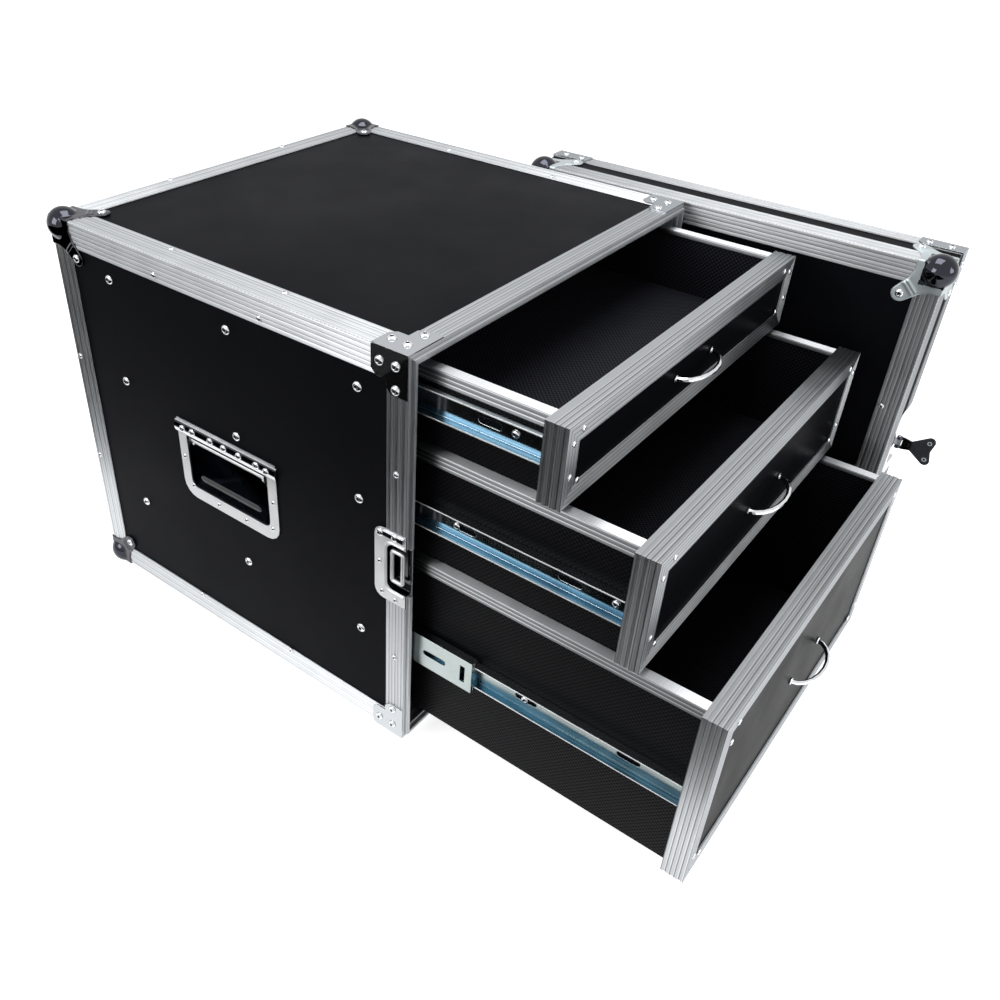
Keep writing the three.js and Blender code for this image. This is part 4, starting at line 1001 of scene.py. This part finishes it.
def add_floor():
    """A white floor, and on it a black card that keeps the case's left side dark, unseen by the camera."""
    white = Recipe("studio_white", (0.8, 0.8, 0.8), 0, 0.9)
    ray = white.node("ShaderNodeLightPath").outputs
    mirrored = white.math("MAXIMUM", ray["Is Glossy Ray"], ray["Is Transmission Ray"])
    seen = white.math("MAXIMUM", ray["Is Camera Ray"], mirrored)
    white.set("Emission Color", (1, 1, 1, 1))
    white.join(white.math("MULTIPLY", seen, 0.78), "Emission Strength")
    s, z = 12.0, CAD_LOW.z
    studio_sheet("studio_floor", ((-s, -s), (s, -s), (s, s), (-s, s)), z, white)
    black = Recipe("black_felt", (0.004, 0.004, 0.004), 0, 1.0, specular_ior_level=0.0)
    card = studio_sheet("black_card", CARD_OUTLINE, z + 2 * MM, black)
    card.visible_camera = False
    card.visible_shadow = False


def add_world(scene):
    """A world that is white to the camera and in reflections, and dimmer as a light."""
    world = bpy.data.worlds.new("studio_world")
    scene.world = world
    world.use_nodes = True
    tree = world.node_tree
    back = tree.nodes["Background"]
    back.inputs["Color"].default_value = (1, 1, 1, 1)
    ray = add_node(tree, "ShaderNodeLightPath").outputs
    seen = add_node(tree, "ShaderNodeMath", ray["Is Camera Ray"], ray["Is Glossy Ray"], operation="MAXIMUM")
    level = add_node(tree, "ShaderNodeMapRange", seen.outputs[0], 0.0, 1.0, WORLD_LIGHT, 1.0)
    tree.links.new(level.outputs[0], back.inputs["Strength"])


def add_lamps():
    """Soft square lamps that point at the case."""
    for name, position, size, watts in LAMPS:
        lamp = bpy.data.lights.new(name, "AREA")
        lamp.shape, lamp.size, lamp.energy = "SQUARE", size, watts
        light = linked(name, lamp)
        light.location = position
        light.rotation_euler = (LAMP_TARGET - light.location).to_track_quat("-Z", "Y").to_euler()


# Operators


class FLIGHTCASE_OT_panels(bpy.types.Operator):
    """Finish the plywood panels of the case and the lid"""

    bl_idname = "flightcase.panels"
    bl_label = "Panels"

    def execute(self, context):
        for node in ("top_panel", "bottom_panel", "back_panel", "lid_shell"):
            paint(node, "laminate")
        for node in ("left_side_panel", "right_side_panel"):
            paint(node, "side")
        return {"FINISHED"}


class FLIGHTCASE_OT_extrusions(bpy.types.Operator):
    """Finish the ribbed extrusions of the case and the lid"""

    bl_idname = "flightcase.extrusions"
    bl_label = "Extrusions"

    def execute(self, context):
        for node in ("top_left_edge", "top_right_edge", "bottom_left_edge", "bottom_right_edge", "back_frame"):
            softened(node, "case_edge", "case")
        softened("front_frame", "case_rail", "case")
        softened("lid_outer_frame", "lid_edge", "lid")
        softened("lid_mating_frame", "lid_rail", "lid")
        return {"FINISHED"}


class FLIGHTCASE_OT_corners(bpy.types.Operator):
    """Finish the ball corners"""

    bl_idname = "flightcase.corners"
    bl_label = "Ball corners"

    def execute(self, context):
        template = corner_template(context.scene.flightcase_sizes.ball_segments)
        for node in BALL_CORNERS:
            # Painted reflection: the case's plates are painted dark and the lid's pale, though they are the same
            # pressing.
            body, plating = ("lid", "corner_zinc") if node.startswith("lid") else ("case", "dark_chrome")
            corner, signs = corner_of(node)
            mesh = template.copy()
            mesh.name = node + "_finish"
            mesh.transform(Matrix.Translation(corner) @ Matrix.Diagonal((*signs, 1)))
            if signs[0] * signs[1] * signs[2] < 0:
                mesh.flip_normals()
            obj = new_object(node + "_finish", mesh, "ball", body)
            plate = lambda c, n: max(signs[i] * (c[i] - corner[i]) for i in range(3)) > PLATE_START
            zones(obj, (plate, plating))
            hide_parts(node)
        return {"FINISHED"}


class FLIGHTCASE_OT_hardware(bpy.types.Operator):
    """Finish the handles, keepers and latches"""

    bl_idname = "flightcase.hardware"
    bl_label = "Handles and latches"

    def execute(self, context):
        for side, out in (("left", -1), ("right", 1)):
            finish_handle(side)
            finish_keeper(side, out)
        for end in ("near", "far"):
            wing = f"{end}_latch_wing"
            softened(f"{end}_latch_dish", "zinc", "lid")
            softened(f"{end}_latch_cam", "zinc", f"{end}_latch_cam_body")
            softened(wing, f"{end}_wing", f"{wing}_body", width=1.3 * MM, segments=4)
        return {"FINISHED"}


class FLIGHTCASE_OT_drawers(bpy.types.Operator):
    """Finish the drawers' boards, angles, trays and pulls"""

    bl_idname = "flightcase.drawers"
    bl_label = "Drawers"

    def execute(self, context):
        for name in DRAWERS:
            body = f"{name}_drawer"
            paint(f"{name}_drawer_board", "board")
            paint(f"{name}_drawer_tray", "emboss")
            softened(f"{name}_drawer_frame", f"{name}_angle", body)
            softened(f"{name}_drawer_pull", "chrome", body, angle=50)
        return {"FINISHED"}


class FLIGHTCASE_OT_slides(bpy.types.Operator):
    """Finish the telescopic slides"""

    bl_idname = "flightcase.slides"
    bl_label = "Drawer slides"

    def execute(self, context):
        for name in DRAWERS:
            web = "pale_slide" if name == "bottom" else "slide"
            for side in ("left", "right"):
                finish_slide(f"{name}_{side}_middle_slide", f"{name}_middle_slides", web)
                finish_slide(f"{name}_{side}_drawer_slide", f"{name}_drawer", web)
        return {"FINISHED"}


class FLIGHTCASE_OT_rivets(bpy.types.Operator):
    """Set the rivets of the case, the lid and the drawers"""

    bl_idname = "flightcase.rivets"
    bl_label = "Rivets"

    def execute(self, context):
        sizes = context.scene.flightcase_sizes
        small, medium = sizes.rivet_radius, sizes.brace_rivet_radius
        case_rivets(small, medium, sizes.panel_rivet_radius)
        lid_rivets(small, medium)
        for name in DRAWERS:
            lip_rivets(name, small)
            slide_screws(name, medium)
        return {"FINISHED"}


class FLIGHTCASE_OT_stage(bpy.types.Operator):
    """Add the camera, the white floor and backdrop, and the studio light"""

    bl_idname = "flightcase.stage"
    bl_label = "Camera and studio"

    def execute(self, context):
        context.scene.view_settings.view_transform = "Standard"
        add_camera(context.scene)
        add_floor()
        add_world(context.scene)
        add_lamps()
        return {"FINISHED"}


OPERATORS = (
    FLIGHTCASE_OT_stage,
    FLIGHTCASE_OT_panels,
    FLIGHTCASE_OT_extrusions,
    FLIGHTCASE_OT_corners,
    FLIGHTCASE_OT_hardware,
    FLIGHTCASE_OT_drawers,
    FLIGHTCASE_OT_slides,
    FLIGHTCASE_OT_rivets,
)


class FLIGHTCASE_PT_sidebar(bpy.types.Panel):
    """Lists the steps that dress the case"""

    bl_label = "Flight Case"
    bl_space_type = "VIEW_3D"
    bl_region_type = "UI"
    bl_category = "Flight Case"

    def draw(self, context):
        layout = self.layout
        for group in (context.scene.flightcase_sizes, context.scene.flightcase_colours):
            box = layout.box()
            for key in group.bl_rna.properties.keys():
                if key not in ("rna_type", "name"):
                    box.prop(group, key)
        for operator in OPERATORS:
            layout.operator(operator.bl_idname)


CLASSES = (FLIGHTCASE_PG_sizes, FLIGHTCASE_PG_colours, *OPERATORS, FLIGHTCASE_PT_sidebar)


def register():
    for cls in CLASSES:
        bpy.utils.register_class(cls)
    bpy.types.Scene.flightcase_sizes = PointerProperty(type=FLIGHTCASE_PG_sizes)
    bpy.types.Scene.flightcase_colours = PointerProperty(type=FLIGHTCASE_PG_colours)


def unregister():
    del bpy.types.Scene.flightcase_colours
    del bpy.types.Scene.flightcase_sizes
    for cls in reversed(CLASSES):
        bpy.utils.unregister_class(cls)


def main():
    register()
    for operator in OPERATORS:
        getattr(bpy.ops.flightcase, operator.bl_idname.split(".")[1])()


if __name__ == "__main__":
    main()
